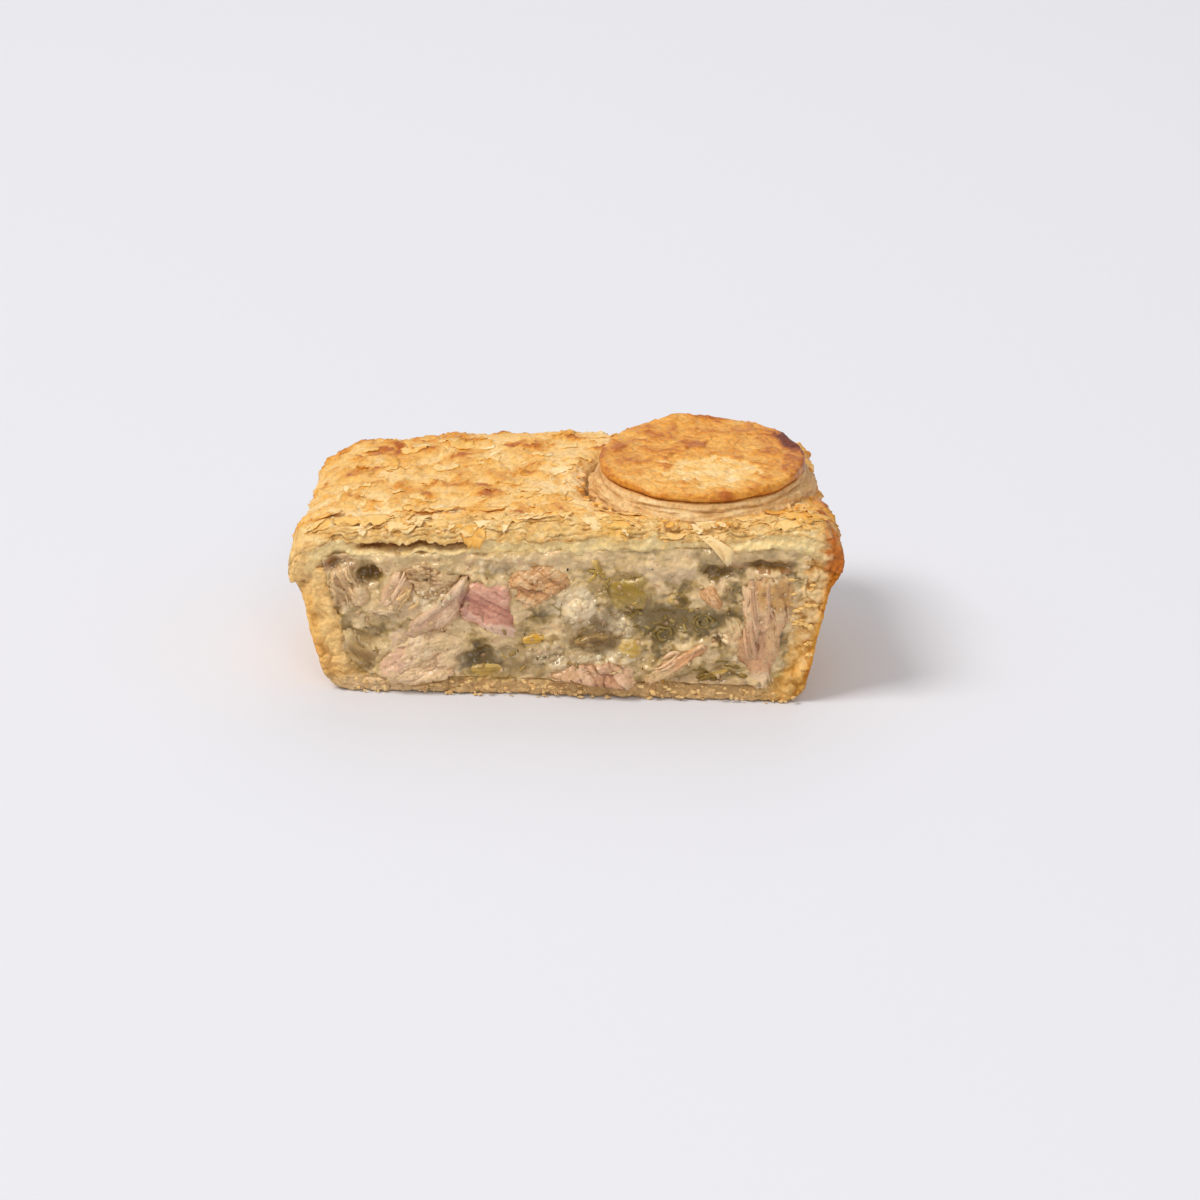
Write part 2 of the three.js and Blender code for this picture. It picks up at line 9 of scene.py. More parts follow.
import bpy
import numpy as np
from mathutils import Matrix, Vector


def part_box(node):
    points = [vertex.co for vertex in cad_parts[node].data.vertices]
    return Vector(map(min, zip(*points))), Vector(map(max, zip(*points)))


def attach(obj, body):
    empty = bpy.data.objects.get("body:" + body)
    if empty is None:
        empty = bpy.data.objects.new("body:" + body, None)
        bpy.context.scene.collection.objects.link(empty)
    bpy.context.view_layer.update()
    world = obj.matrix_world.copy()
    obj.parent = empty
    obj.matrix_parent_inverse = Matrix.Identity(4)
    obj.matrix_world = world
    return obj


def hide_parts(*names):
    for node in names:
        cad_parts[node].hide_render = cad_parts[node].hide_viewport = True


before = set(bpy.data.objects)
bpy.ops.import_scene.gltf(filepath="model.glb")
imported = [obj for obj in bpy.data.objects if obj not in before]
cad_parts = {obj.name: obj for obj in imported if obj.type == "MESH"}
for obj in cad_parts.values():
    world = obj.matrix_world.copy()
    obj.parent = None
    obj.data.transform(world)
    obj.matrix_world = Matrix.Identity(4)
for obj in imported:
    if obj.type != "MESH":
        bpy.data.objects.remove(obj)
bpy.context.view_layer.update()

# Sizes of the solids, in millimetres: the case, the lid and the pastry round.
MM = 0.001
DEPTH = 68.0
CUT_Y = -DEPTH / 2
BASE_WIDTH = 108.4
WALL_TOP_WIDTH = 121.2
RIM_WIDTH = 125.0
RIM_HEIGHT = 32.2
RIM_TILT = 2.4
BACK_TAPER = 7.0
BACK_CORNER = 15.0
INNER_CORNER = 9.0
SKEW = 0.15
FOOT_ROUND = 4.5
WALL = 6.0
FLOOR = 4.0
FLOOR_ROUND = 7.0
LIP_DROP = 9.0
GAP = 0.35
EDGE_THICKNESS = 3.6
SHOULDER_RISE = 6.2
SHOULDER_RUN = 13.0
CROWN = 1.1
UNDERSIDE_RISE = 2.9
MOAT = 1.4
ROUND_X = 29.6
ROUND_Y = CUT_Y + 28.5
ROUND_TOP = 49.4
ROUND_RADIUS = 23.6
# How far the round leans to the front.
ROUND_LEAN = math.radians(3.2)
# Share of the rows from cut to back that lie along the sides; the rest go round the back corners.
STRAIGHT_SHARE = 0.62


# Numbers that look random and repeat each run.

TEN_BITS = 1023


def hashed(i, j, k, seed):
    """A repeatable 32-bit number for each whole-number lattice point: multiply by odd numbers and add, then
    fold and multiply twice."""
    mixed = i.astype(np.uint32) * np.uint32(374761393)
    mixed = mixed + j.astype(np.uint32) * np.uint32(668265263)
    mixed = mixed + k.astype(np.uint32) * np.uint32(1274126177)
    mixed = mixed + np.uint32((seed * 974634777) & 0xFFFFFFFF)
    mixed = (mixed ^ (mixed >> np.uint32(15))) * np.uint32(2246822519)
    mixed = (mixed ^ (mixed >> np.uint32(13))) * np.uint32(3266489917)
    return mixed ^ (mixed >> np.uint32(16))


def ten_bits(bits, start):
    """Ten of a number's bits as a number of their own, 0 to 1023."""
    return (bits >> np.uint32(start)) & np.uint32(TEN_BITS)


def noise(x, y=0.0, z=0.0, seed=0):
    """Smooth noise of about -1 to 1: each lattice corner has its own slope, and the eight are blended."""
    x, y, z = np.broadcast_arrays(np.atleast_1d(x), y, z)
    i, j, k = (np.floor(c).astype(np.int64) for c in (x, y, z))
    fx, fy, fz = x - i, y - j, z - k
    ease = [f * f * f * (f * (f * 6 - 15) + 10) for f in (fx, fy, fz)]
    total = np.zeros(x.shape)
    for corner in range(8):
        a, b, c = corner & 1, (corner >> 1) & 1, corner >> 2
        bits = hashed(i + a, j + b, k + c, seed)
        slope_x, slope_y, slope_z = (ten_bits(bits, start) / (TEN_BITS / 2) - 1 for start in (0, 10, 20))
        weight = (ease[0] if a else 1 - ease[0]) * (ease[1] if b else 1 - ease[1])
        weight = weight * (ease[2] if c else 1 - ease[2])
        total += weight * (slope_x * (fx - a) + slope_y * (fy - b) + slope_z * (fz - c))
    return total * 1.5


def rough(x, y=0.0, z=0.0, seed=0, octaves=3):
    """Noise summed over octaves, each of half the size and half the height of the one before."""
    total = 0
    for n in range(octaves):
        total = total + noise(x * 2 ** n, y * 2 ** n, z * 2 ** n, seed + 101 * n) / 2 ** n
    return total


def cells(x, y, seed=0):
    """One point at a random place in each unit square: distance to the nearest and to the next one, and a
    random share, 0 to 1, that belongs to the nearest."""
    i, j = np.floor(x).astype(np.int64), np.floor(y).astype(np.int64)
    near = np.full(x.shape, 9.0)
    following = np.full(x.shape, 9.0)
    number = np.zeros(x.shape)
    for di in (-1, 0, 1):
        for dj in (-1, 0, 1):
            bits = hashed(i + di, j + dj, np.zeros_like(i), seed)
            share_x, share_y, own = (ten_bits(bits, start) / TEN_BITS for start in (0, 10, 20))
            away = np.hypot(x - (i + di + share_x), y - (j + dj + share_y))
            closer = away < near
            following = np.where(closer, near, np.minimum(following, away))
            number = np.where(closer, own, number)
            near = np.minimum(near, away)
    return near, following, number


# Small helpers.

def mix(a, b, share):
    """The value that is that share of the way from a to b."""
    return a + (b - a) * share


def rise(value, low, high):
    """0 below low, 1 above high, eased in between."""
    share = np.clip((value - low) / (high - low), 0, 1)
    return share * share * (3 - 2 * share)


def ridge(value, middle, size):
    """A soft bump along one line: 1 at its middle and falling to nothing at about twice its size."""
    return np.exp(-((value - middle) / size) ** 2)


def hump(x, y, middle_x, middle_y, size_x, size_y):
    """A soft bump: 1 in its middle and falling to nothing at about twice its size."""
    return np.exp(-((x - middle_x) / size_x) ** 2 - ((y - middle_y) / size_y) ** 2)


def humps(x, y, rows):
    """Soft bumps added up: each row has a middle x and y, a size along x and y, and a height."""
    return sum(height * hump(x, y, *place) for *place, height in rows)


def astray(x, y, reach, size, seeds, layer=0.0):
    """Both coordinates pulled out of line by noise that reaches so far, in waves of a size in mm."""
    return [value + reach * noise(x / size, y / size, layer, seed) for value, seed in zip((x, y), seeds)]


def along_and_across(x, z, angle):
    """Places measured along and across a direction at an angle from +X towards +Z."""
    return x * np.cos(angle) + z * np.sin(angle), z * np.cos(angle) - x * np.sin(angle)


def linear(colour):
    """Screen colour, 0 to 255 a channel, as linear light."""
    share = np.asarray(colour, float) / 255
    return np.where(share <= 0.04045, share / 12.92, ((share + 0.055) / 1.055) ** 2.4)


def ramp(value, *stops):
    """Colours between stops of (place, screen colour), blended in linear light."""
    places = [place for place, _ in stops]
    colours = np.array([linear(colour) for _, colour in stops])
    return np.stack([np.interp(value, places, colours[:, n]) for n in range(3)], axis=-1)


def stain(tint, colour, share):
    """The tint with that share of a screen colour over it."""
    return mix(tint, linear(colour), np.clip(share, 0, 1)[..., None])


def stains(tint, *layers):
    """The tint with layers of (screen colour, share) over it, one after the other."""
    for colour, share in layers:
        tint = stain(tint, colour, share)
    return tint


# Grids, and putting them into meshes.

NO_AREA = 1e-7


def grid_triangles(rows, columns, flip=False):
    """Two triangles for each square of a grid of points."""
    corner = (np.arange(rows - 1)[:, None] * columns + np.arange(columns - 1)).ravel()
    squares = np.stack([corner, corner + columns, corner + columns + 1, corner + 1], axis=1)
    if flip:
        squares = squares[:, ::-1]
    return np.concatenate([squares[:, [0, 1, 2]], squares[:, [0, 2, 3]]])


def block(nu, nv, nw, sides="front back left right bottom top"):
    """Points on the sides of a box of nu by nv by nw cells, as whole-number places, and triangles that face
    out. left and right end u, front and back end v, bottom and top end w."""
    axes = {"left": (0, 2, 1), "right": (0, 2, 1), "front": (1, 0, 2), "back": (1, 0, 2),
            "bottom": (2, 0, 1), "top": (2, 0, 1)}
    counts = (nu, nv, nw)
    places = []
    faces = []
    start = 0
    for side in sides.split():
        fixed, first, second = axes[side]
        a, b = np.meshgrid(np.arange(counts[first] + 1), np.arange(counts[second] + 1), indexing="ij")
        grid = np.zeros((*a.shape, 3), np.int64)
        grid[..., first] = a
        grid[..., second] = b
        grid[..., fixed] = counts[fixed] if side in ("right", "back", "top") else 0
        faces.append(start + grid_triangles(*a.shape, flip=side in ("right", "back", "bottom")))
        places.append(grid.reshape(-1, 3))
        start += a.size
    places = np.concatenate(places)
    keys = (places[:, 0] * (nv + 1) + places[:, 1]) * (nw + 1) + places[:, 2]
    _, first_of, index = np.unique(keys, return_index=True, return_inverse=True)
    return places[first_of], index.reshape(-1)[np.concatenate(faces)]


def pod(along, around):
    """A closed skin from pole to pole: the share along, 0 to 1, and the angle around of each point, and
    triangles that face out where the axis, angle 0 and a quarter turn make a right-handed set."""
    share = np.repeat(np.arange(1, along) / along, around)
    angle = np.tile(np.arange(around) * 2 * np.pi / around, along - 1)
    ring = np.arange(around)
    turned = (ring + 1) % around
    starts = 1 + np.arange(along - 2)[:, None] * around
    a, b = (starts + ring).ravel(), (starts + turned).ravel()
    last = 1 + (along - 2) * around
    end = last + around
    faces = np.concatenate([
        np.stack([a, b, b + around], axis=1),
        np.stack([a, b + around, a + around], axis=1),
        np.stack([1 + turned, 1 + ring, np.zeros_like(ring)], axis=1),
        np.stack([last + ring, last + turned, np.full_like(ring, end)], axis=1),
    ])
    return np.concatenate([[0], share, [1]]), np.concatenate([[0], angle, [0]]), faces


def close_with_point(points, faces, middle):
    """Closes an open border with a fan of triangles to one more point."""
    edges = np.concatenate([faces[:, [0, 1]], faces[:, [1, 2]], faces[:, [2, 0]]])
    forward = edges[:, 0] * len(points) + edges[:, 1]
    backward = edges[:, 1] * len(points) + edges[:, 0]
    border = edges[~np.isin(forward, backward)]
    fan = np.column_stack([border[:, 1], border[:, 0], np.full(len(border), len(points))])
    return np.vstack([points, middle]), np.vstack([faces, fan])


def copies(points, faces):
    """Many copies of one skin as one: points is (copies, points, 3), and the triangles repeat for each."""
    count, size, _ = points.shape
    every = (faces[None] + np.arange(count)[:, None, None] * size).reshape(-1, 3)
    return points.reshape(-1, 3), every


def outward(points, faces):
    """Triangles turned to face out, by the sign of the volume they enclose, without any of no area."""
    a, b, c = (points[faces[:, n]] for n in range(3))
    normal = np.cross(b - a, c - a)
    faces = faces[np.linalg.norm(normal, axis=1) > NO_AREA]
    volume = np.sum(a * normal)
    return faces if volume > 0 else faces[:, ::-1]


def make_piece(name, points, faces, material, slot, nodes=(), smooth=True, **attributes):
    """Puts points in mm and triangles into a mesh of metres, with colour and number attributes on the
    points and its finish, hangs the piece on the root and hides the solids it stands for."""
    faces = outward(points, faces)
    mesh = bpy.data.meshes.new(name)
    mesh.vertices.add(len(points))
    mesh.vertices.foreach_set("co", (points * MM).astype(np.float32).ravel())
    mesh.loops.add(faces.size)
    mesh.loops.foreach_set("vertex_index", faces.astype(np.int32).ravel())
    mesh.polygons.add(len(faces))
    mesh.polygons.foreach_set("loop_start", np.arange(0, faces.size, 3, dtype=np.int32))
    mesh.polygons.foreach_set("use_smooth", np.full(len(faces), smooth))
    for key, values in attributes.items():
        if values.ndim == 2:
            layer = mesh.attributes.new(key, "FLOAT_COLOR", "POINT")
            colour = np.column_stack([np.clip(values, 0, 1), np.ones(len(values))])
            layer.data.foreach_set("color", colour.astype(np.float32).ravel())
        else:
            layer = mesh.attributes.new(key, "FLOAT", "POINT")
            layer.data.foreach_set("value", np.clip(values, 0, 1).astype(np.float32))
    mesh.materials.append(material)
    mesh.update(calc_edges=True)
    mesh.validate()
    piece = bpy.data.objects.new(name, mesh)
    bpy.context.scene.collection.objects.link(piece)
    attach(piece, "root")
    if nodes:
        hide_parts(*nodes)
    return piece


# Finishes.

# How far light goes on inside for red, green and blue, as shares of a reach in mm.
GLOW_SHARES = (1.0, 0.55, 0.25)
GLOW_REACH = 0.9
FILM_ROUGHNESS = 0.15
MOTTLE_SIZE = 1.0


def set_inputs(node, **values):
    """Sets inputs of a node by their names, with _ for each space."""
    for name, value in values.items():
        node.inputs[name.replace("_", " ")].default_value = value


def finish(name, dull, shiny, grain, grain_height, mottle, glow, gleam, coat=0.0):
    """A food surface: the tint on the points, mottled by noise; roughness between dull and shiny by the
    gloss on the points; fine grain as bump, with grain in mm a bump; glow is how much light goes into it
    and comes out near by; gleam is how much it mirrors; coat is how much wet film or glaze it has."""
    material = bpy.data.materials.new(name)
    material.use_nodes = True
    nodes = material.node_tree.nodes
    links = material.node_tree.links
    shader = nodes["Principled BSDF"]
    set_inputs(shader, Subsurface_Weight=glow, Subsurface_Radius=GLOW_SHARES,
               Subsurface_Scale=GLOW_REACH * MM, Specular_IOR_Level=gleam,
               Coat_Weight=coat, Coat_Roughness=FILM_ROUGHNESS)
    place = nodes.new("ShaderNodeTexCoord")
    tint = nodes.new("ShaderNodeAttribute")
    tint.attribute_name = "tint"
    gloss = nodes.new("ShaderNodeAttribute")
    gloss.attribute_name = "gloss"

    speckle = nodes.new("ShaderNodeTexNoise")
    set_inputs(speckle, Scale=1 / (MOTTLE_SIZE * MM), Detail=5, Roughness=0.65)
    links.new(place.outputs["Object"], speckle.inputs["Vector"])
    shade = nodes.new("ShaderNodeMapRange")
    set_inputs(shade, From_Min=0.3, From_Max=0.7, To_Min=1 - mottle, To_Max=1 + mottle * 0.6)
    links.new(speckle.outputs["Fac"], shade.inputs["Value"])
    colour = nodes.new("ShaderNodeVectorMath")
    colour.operation = "SCALE"
    links.new(tint.outputs["Color"], colour.inputs[0])
    links.new(shade.outputs["Result"], colour.inputs["Scale"])
    links.new(colour.outputs["Vector"], shader.inputs["Base Color"])

    polish = nodes.new("ShaderNodeMapRange")
    set_inputs(polish, To_Min=dull, To_Max=shiny)
    links.new(gloss.outputs["Fac"], polish.inputs["Value"])
    links.new(polish.outputs["Result"], shader.inputs["Roughness"])

    pits = nodes.new("ShaderNodeTexNoise")
    set_inputs(pits, Scale=1 / (grain * MM), Detail=4)
    links.new(place.outputs["Object"], pits.inputs["Vector"])
    bump = nodes.new("ShaderNodeBump")
    set_inputs(bump, Strength=1, Distance=grain_height * MM)
    links.new(pits.outputs["Fac"], bump.inputs["Height"])
    links.new(bump.outputs["Normal"], shader.inputs["Normal"])
    return material


LID_SKIN = finish("flaky_lid_skin", dull=0.52, shiny=0.26, grain=1.0, grain_height=0.50, mottle=0.26,
                  glow=0.06, gleam=0.30, coat=0.12)
ROUND_SKIN = finish("puff_round_skin", dull=0.60, shiny=0.25, grain=1.0, grain_height=0.48, mottle=0.28,
                    glow=0.05, gleam=0.30, coat=0.12)
FLAKE_SKIN = finish("loose_flakes", dull=0.55, shiny=0.32, grain=0.6, grain_height=0.10, mottle=0.12,
                    glow=0.12, gleam=0.25)
SHORTCRUST = finish("shortcrust_crumb", dull=0.85, shiny=0.50, grain=1.1, grain_height=0.40, mottle=0.18,
                    glow=0.06, gleam=0.18)
SAUCE = finish("cream_sauce", dull=0.32, shiny=0.06, grain=0.9, grain_height=0.22, mottle=0.18,
               glow=0.14, gleam=0.40, coat=0.45)
CHICKEN = finish("chicken_meat", dull=0.44, shiny=0.12, grain=0.45, grain_height=0.14, mottle=0.24,
                 glow=0.10, gleam=0.34, coat=0.28)
LEEK = finish("cooked_leek", dull=0.35, shiny=0.10, grain=0.5, grain_height=0.08, mottle=0.16,
              glow=0.20, gleam=0.35, coat=0.25)
SPECK = finish("pepper_and_herb", dull=0.60, shiny=0.30, grain=0.4, grain_height=0.05, mottle=0.10,
               glow=0.0, gleam=0.30)


# Forms shared by the pieces.

def rim_height(x):
    """The rim climbs evenly from left to right."""
    return RIM_HEIGHT + RIM_TILT * x / (RIM_WIDTH / 2)


def inset(x, y):
    """Distance in from the rim's outline, which is square at the cut and rounded at the back corners."""
    from_side = RIM_WIDTH / 2 - np.abs(x)
    from_back = DEPTH / 2 - y
    corner = BACK_CORNER - np.hypot(BACK_CORNER - from_side, BACK_CORNER - from_back)
    straight = np.minimum(from_side, from_back)
    return np.where((from_side >= BACK_CORNER) | (from_back >= BACK_CORNER), straight, corner)


def shoulder(distance):
    """A quarter round that climbs from 0 at the rim to 1 at the end of the run."""
    share = 1 - np.clip(distance / SHOULDER_RUN, 0, 1)
    return np.sqrt(1 - share * share)


def narrowed(x, y):
    """The right half of the plan drawn in towards the back, because the cut isn't square to the sides."""
    return np.where(x > 0, x * (1 - SKEW * (y - CUT_Y) / (RIM_WIDTH / 2)), x)


def from_round(x, y):
    """Distance outside the pastry round's edge."""
    return np.hypot(narrowed(x, y) - ROUND_X, y - ROUND_Y) - ROUND_RADIUS


def lid_top(x, y):
    """The lid's smooth top: a rounded shoulder from the rim, a low crown, and a moat round the round."""
    crown = CROWN * (1 - (2 * x / RIM_WIDTH) ** 2) * (1 - (2 * y / DEPTH) ** 2)
    away = from_round(x, y)
    moat = MOAT * rise(away, -4, 2) * (1 - rise(away, 3, 8))
    return rim_height(x) + EDGE_THICKNESS + SHOULDER_RISE * shoulder(inset(x, y)) + crown - moat


def lid_underside(x, y):
    """The lid's underside, arched from the inside of the wall."""
    return rim_height(x) + UNDERSIDE_RISE * shoulder(inset(x, y) - WALL)


def wall_half(z):
    """Half of the case's width outside, at a height."""
    return mix(BASE_WIDTH, WALL_TOP_WIDTH, z / RIM_HEIGHT) / 2


def wall_back(z):
    """Place of the case's back outside, at a height."""
    return DEPTH / 2 - BACK_TAPER * (1 - z / RIM_HEIGHT)


def pulled_in(z, top, radius):
    """How far a quarter round at the foot of a wall pulls it in at a height; it ends at a height top."""
    lift = np.clip(top - z, 0, radius)
    return radius - np.sqrt(radius ** 2 - lift ** 2)


def oblong(u, v, half, back, corner, front=CUT_Y):
    """Plan of the pie: u across, v from the cut to the back, where the corners are rounded."""
    side = back - corner
    angle = np.clip((v - STRAIGHT_SHARE) / (1 - STRAIGHT_SHARE), 0, 1) * np.pi / 2
    reach = half - corner + corner * np.cos(angle)
    x = mix(-reach, reach, u)
    y = np.where(v <= STRAIGHT_SHARE, mix(front, side, v / STRAIGHT_SHARE), side + corner * np.sin(angle))
    return x, y


# The lid.

LID_CELLS = (340, 130, 54)
# The torn lip at the cut: it rounds over from the top to the front, and below it is a band of plain dough.
# The way over it starts a little behind it.
LIP_BACK = 6.0
LIP_FALL = 4.7
LIP_START = 3.0
DOUGH_SHARE = 0.24
LIP_SHEETS = 7
# How far the skin lies below the smooth form, how far it goes down the sides, and its darkest bake.
LID_SUNK = 0.7
LID_SIDE = 9.0
LID_DARKEST = 0.92
# Places on the lid that are baked darker or are paler: middle x, y, size x, y, and how much.
LID_SPOTS = (
    (-10.7, -27.5, 2.2, 2.6, 0.42),
    (-37.8, -11.5, 3.0, 3.0, 0.26),
    (-32.0, -25.7, 1.4, 1.2, 0.20),
    (-19.2, -10.2, 3.6, 2.6, 0.20),
    (-9.5, 13.3, 2.2, 2.4, 0.30),
    (-22.0, -4.0, 12.0, 7.0, 0.14),
    (-41.0, 16.0, 12.0, 9.0, 0.14),
    (-40.5, -27.5, 9.0, 3.2, -0.24),
    (-18.3, 7.0, 7.0, 4.5, -0.20),
    (-3.0, 2.0, 5.0, 9.0, -0.18),
    (60.0, -20.0, 6.0, 26.0, 0.22),
    (60.0, -32.0, 6.0, 6.0, 0.22),
)
# Two pits and a blob on the lid: middle x, y, size x, y, and height in mm.
LID_DENTS = (
    (-32.0, -26.5, 1.2, 1.0, -1.3),
    (-44.1, -16.6, 1.0, 0.9, -0.91),
    (-10.7, -27.5, 1.6, 1.8, 0.6),
)
# Leaves of pastry on the lid's top: size of their outlines, how much they leave bare, and thickness.
LID_LEAVES = ((18.0, -0.12, 0.32), (12.0, 0.02, 0.30), (7.0, 0.12, 0.26))


def lid_skin(x, y):
    """Relief of the lid's top over its smooth form, in mm, and how dark it is baked. The top swells a
    little, blisters rise on it in low domes and small bubbles, and leaves of pastry lie on each other, each
    with a ragged edge that curls up. It is paler where they are torn off."""
    pull_x = x + 2.6 * noise(x / 8, y / 8, 1.0, seed=11) + 0.6 * noise(x / 2.4, y / 2.4, 1.0, seed=10)
    pull_y = y + 2.6 * noise(x / 8, y / 8, 5.0, seed=11) + 0.6 * noise(x / 2.4, y / 2.4, 5.0, seed=10)
    swell = noise(x / 17, y / 14, seed=9)
    near, _, number = cells(pull_x / 8.0, pull_y / 8.0, seed=12)
    dome = np.clip(1 - (near / 0.60) ** 2, 0, 1) * rise(number, 0.2, 0.9)
    near, _, small = cells(pull_x / 2.7, pull_y / 2.7, seed=13)
    blister = np.sqrt(np.clip(1 - (near / 0.55) ** 2, 0, 1)) * rise(small, 0.45, 0.95)
    wrinkle = (1 - np.abs(noise(pull_x / 6.5, pull_y / 5.0, seed=14))) ** 9
    fine = noise(x / 1.3, y / 1.3, seed=15)
    crest = 0.6 * noise(pull_x / 3.2, pull_y / 2.4, seed=27)
    crest = crest + 0.4 * noise(pull_x / 1.6, pull_y / 1.4, seed=28)
    relief = 0.6 * swell + 0.55 * dome + 0.40 * blister + 0.26 * wrinkle + 0.42 * crest + 0.08 * fine
    torn = np.zeros(x.shape)
    crisp = np.zeros(x.shape)
    for leaf, (size, bare, thick) in enumerate(LID_LEAVES):
        outline = noise(pull_x / size, pull_y / size * 1.2, leaf, seed=20)
        outline = outline + 0.30 * noise(pull_x / size * 3.3, pull_y / size * 4.0, leaf, seed=21)
        outline = outline + 0.12 * noise(x / 1.4, y / 1.4, leaf, seed=22)
        covers = rise(outline, bare - 0.02, bare + 0.02)
        lip = ridge(outline, bare + 0.05, 0.06)
        relief = relief + thick * covers + 0.16 * lip
        torn = torn + (1 - covers) / len(LID_LEAVES)
        crisp = np.maximum(crisp, lip)
    amber = noise(pull_x / 7.5, pull_y / 6.0, seed=24) + 0.6 * noise(pull_x / 2.8, pull_y / 2.0, seed=25)
    amber = amber + 0.35 * noise(pull_x / 1.5, pull_y / 0.9, seed=26)
    amber = rise(amber, -0.1, 0.8)
    bake = 0.39 + 0.28 * amber + 0.10 * (dome - 0.2) + 0.16 * blister * amber + 0.22 * wrinkle * amber
    bake = bake + 0.20 * rise(crest, 0.0, 0.6) * (0.3 + 0.7 * amber)
    bake = bake - 0.34 * (torn - 0.35) + 0.12 * noise(x / 12, y / 10, seed=16) + 0.03 * fine
    bake = bake - 0.16 * crisp * rise(noise(x / 3, y / 3, seed=23), -0.2, 0.4) + 0.05 * rise(y, -22, 20)
    bake = bake + humps(*astray(x, y, 1.1, 2.5, (18, 19)), LID_SPOTS)
    # The back left corner is smoother, and the back stands a little higher.
    relief = relief * (1 - 0.7 * hump(x, y, -53.0, 28.0, 10.0, 8.0))
    relief = relief + 0.9 * rise(y, 0, 22) * rise(inset(x, y), 2, 10)
    return relief - LID_SUNK + humps(x, y, LID_DENTS), np.minimum(bake, LID_DARKEST)


def pastry_tint(bake):
    """Baked pastry from raw cream over gold and amber to burnt."""
    return ramp(bake, (0.0, (252, 232, 190)), (0.20, (250, 212, 150)), (0.38, (245, 194, 112)),
                (0.54, (237, 174, 80)), (0.70, (224, 148, 48)), (0.85, (186, 100, 26)), (1.0, (100, 38, 14)))


def lid_surface(x, y):
    """Height of the lid's finished top."""
    return lid_top(x, y) + lid_skin(x, y)[0] * rise(inset(x, y), -1.0, 3.0)


def over_the_lip(x, walked):
    """The way over the lip: y, z and the slope's angle after walking some mm from a start on top, behind
    the lip: flat, then a quarter oval down to the front, then straight down."""
    quarter = np.pi / 2 * math.sqrt((LIP_BACK ** 2 + LIP_FALL ** 2) / 2)
    angle = np.clip((walked - LIP_START) / quarter, 0, 1) * np.pi / 2
    y = CUT_Y + LIP_BACK * (1 - np.sin(angle)) + np.maximum(0, LIP_START - walked)
    edge = lid_top(x, np.maximum(y, CUT_Y))
    z = edge - LIP_FALL * (1 - np.cos(angle)) - np.maximum(0, walked - LIP_START - quarter)
    return y, z, angle


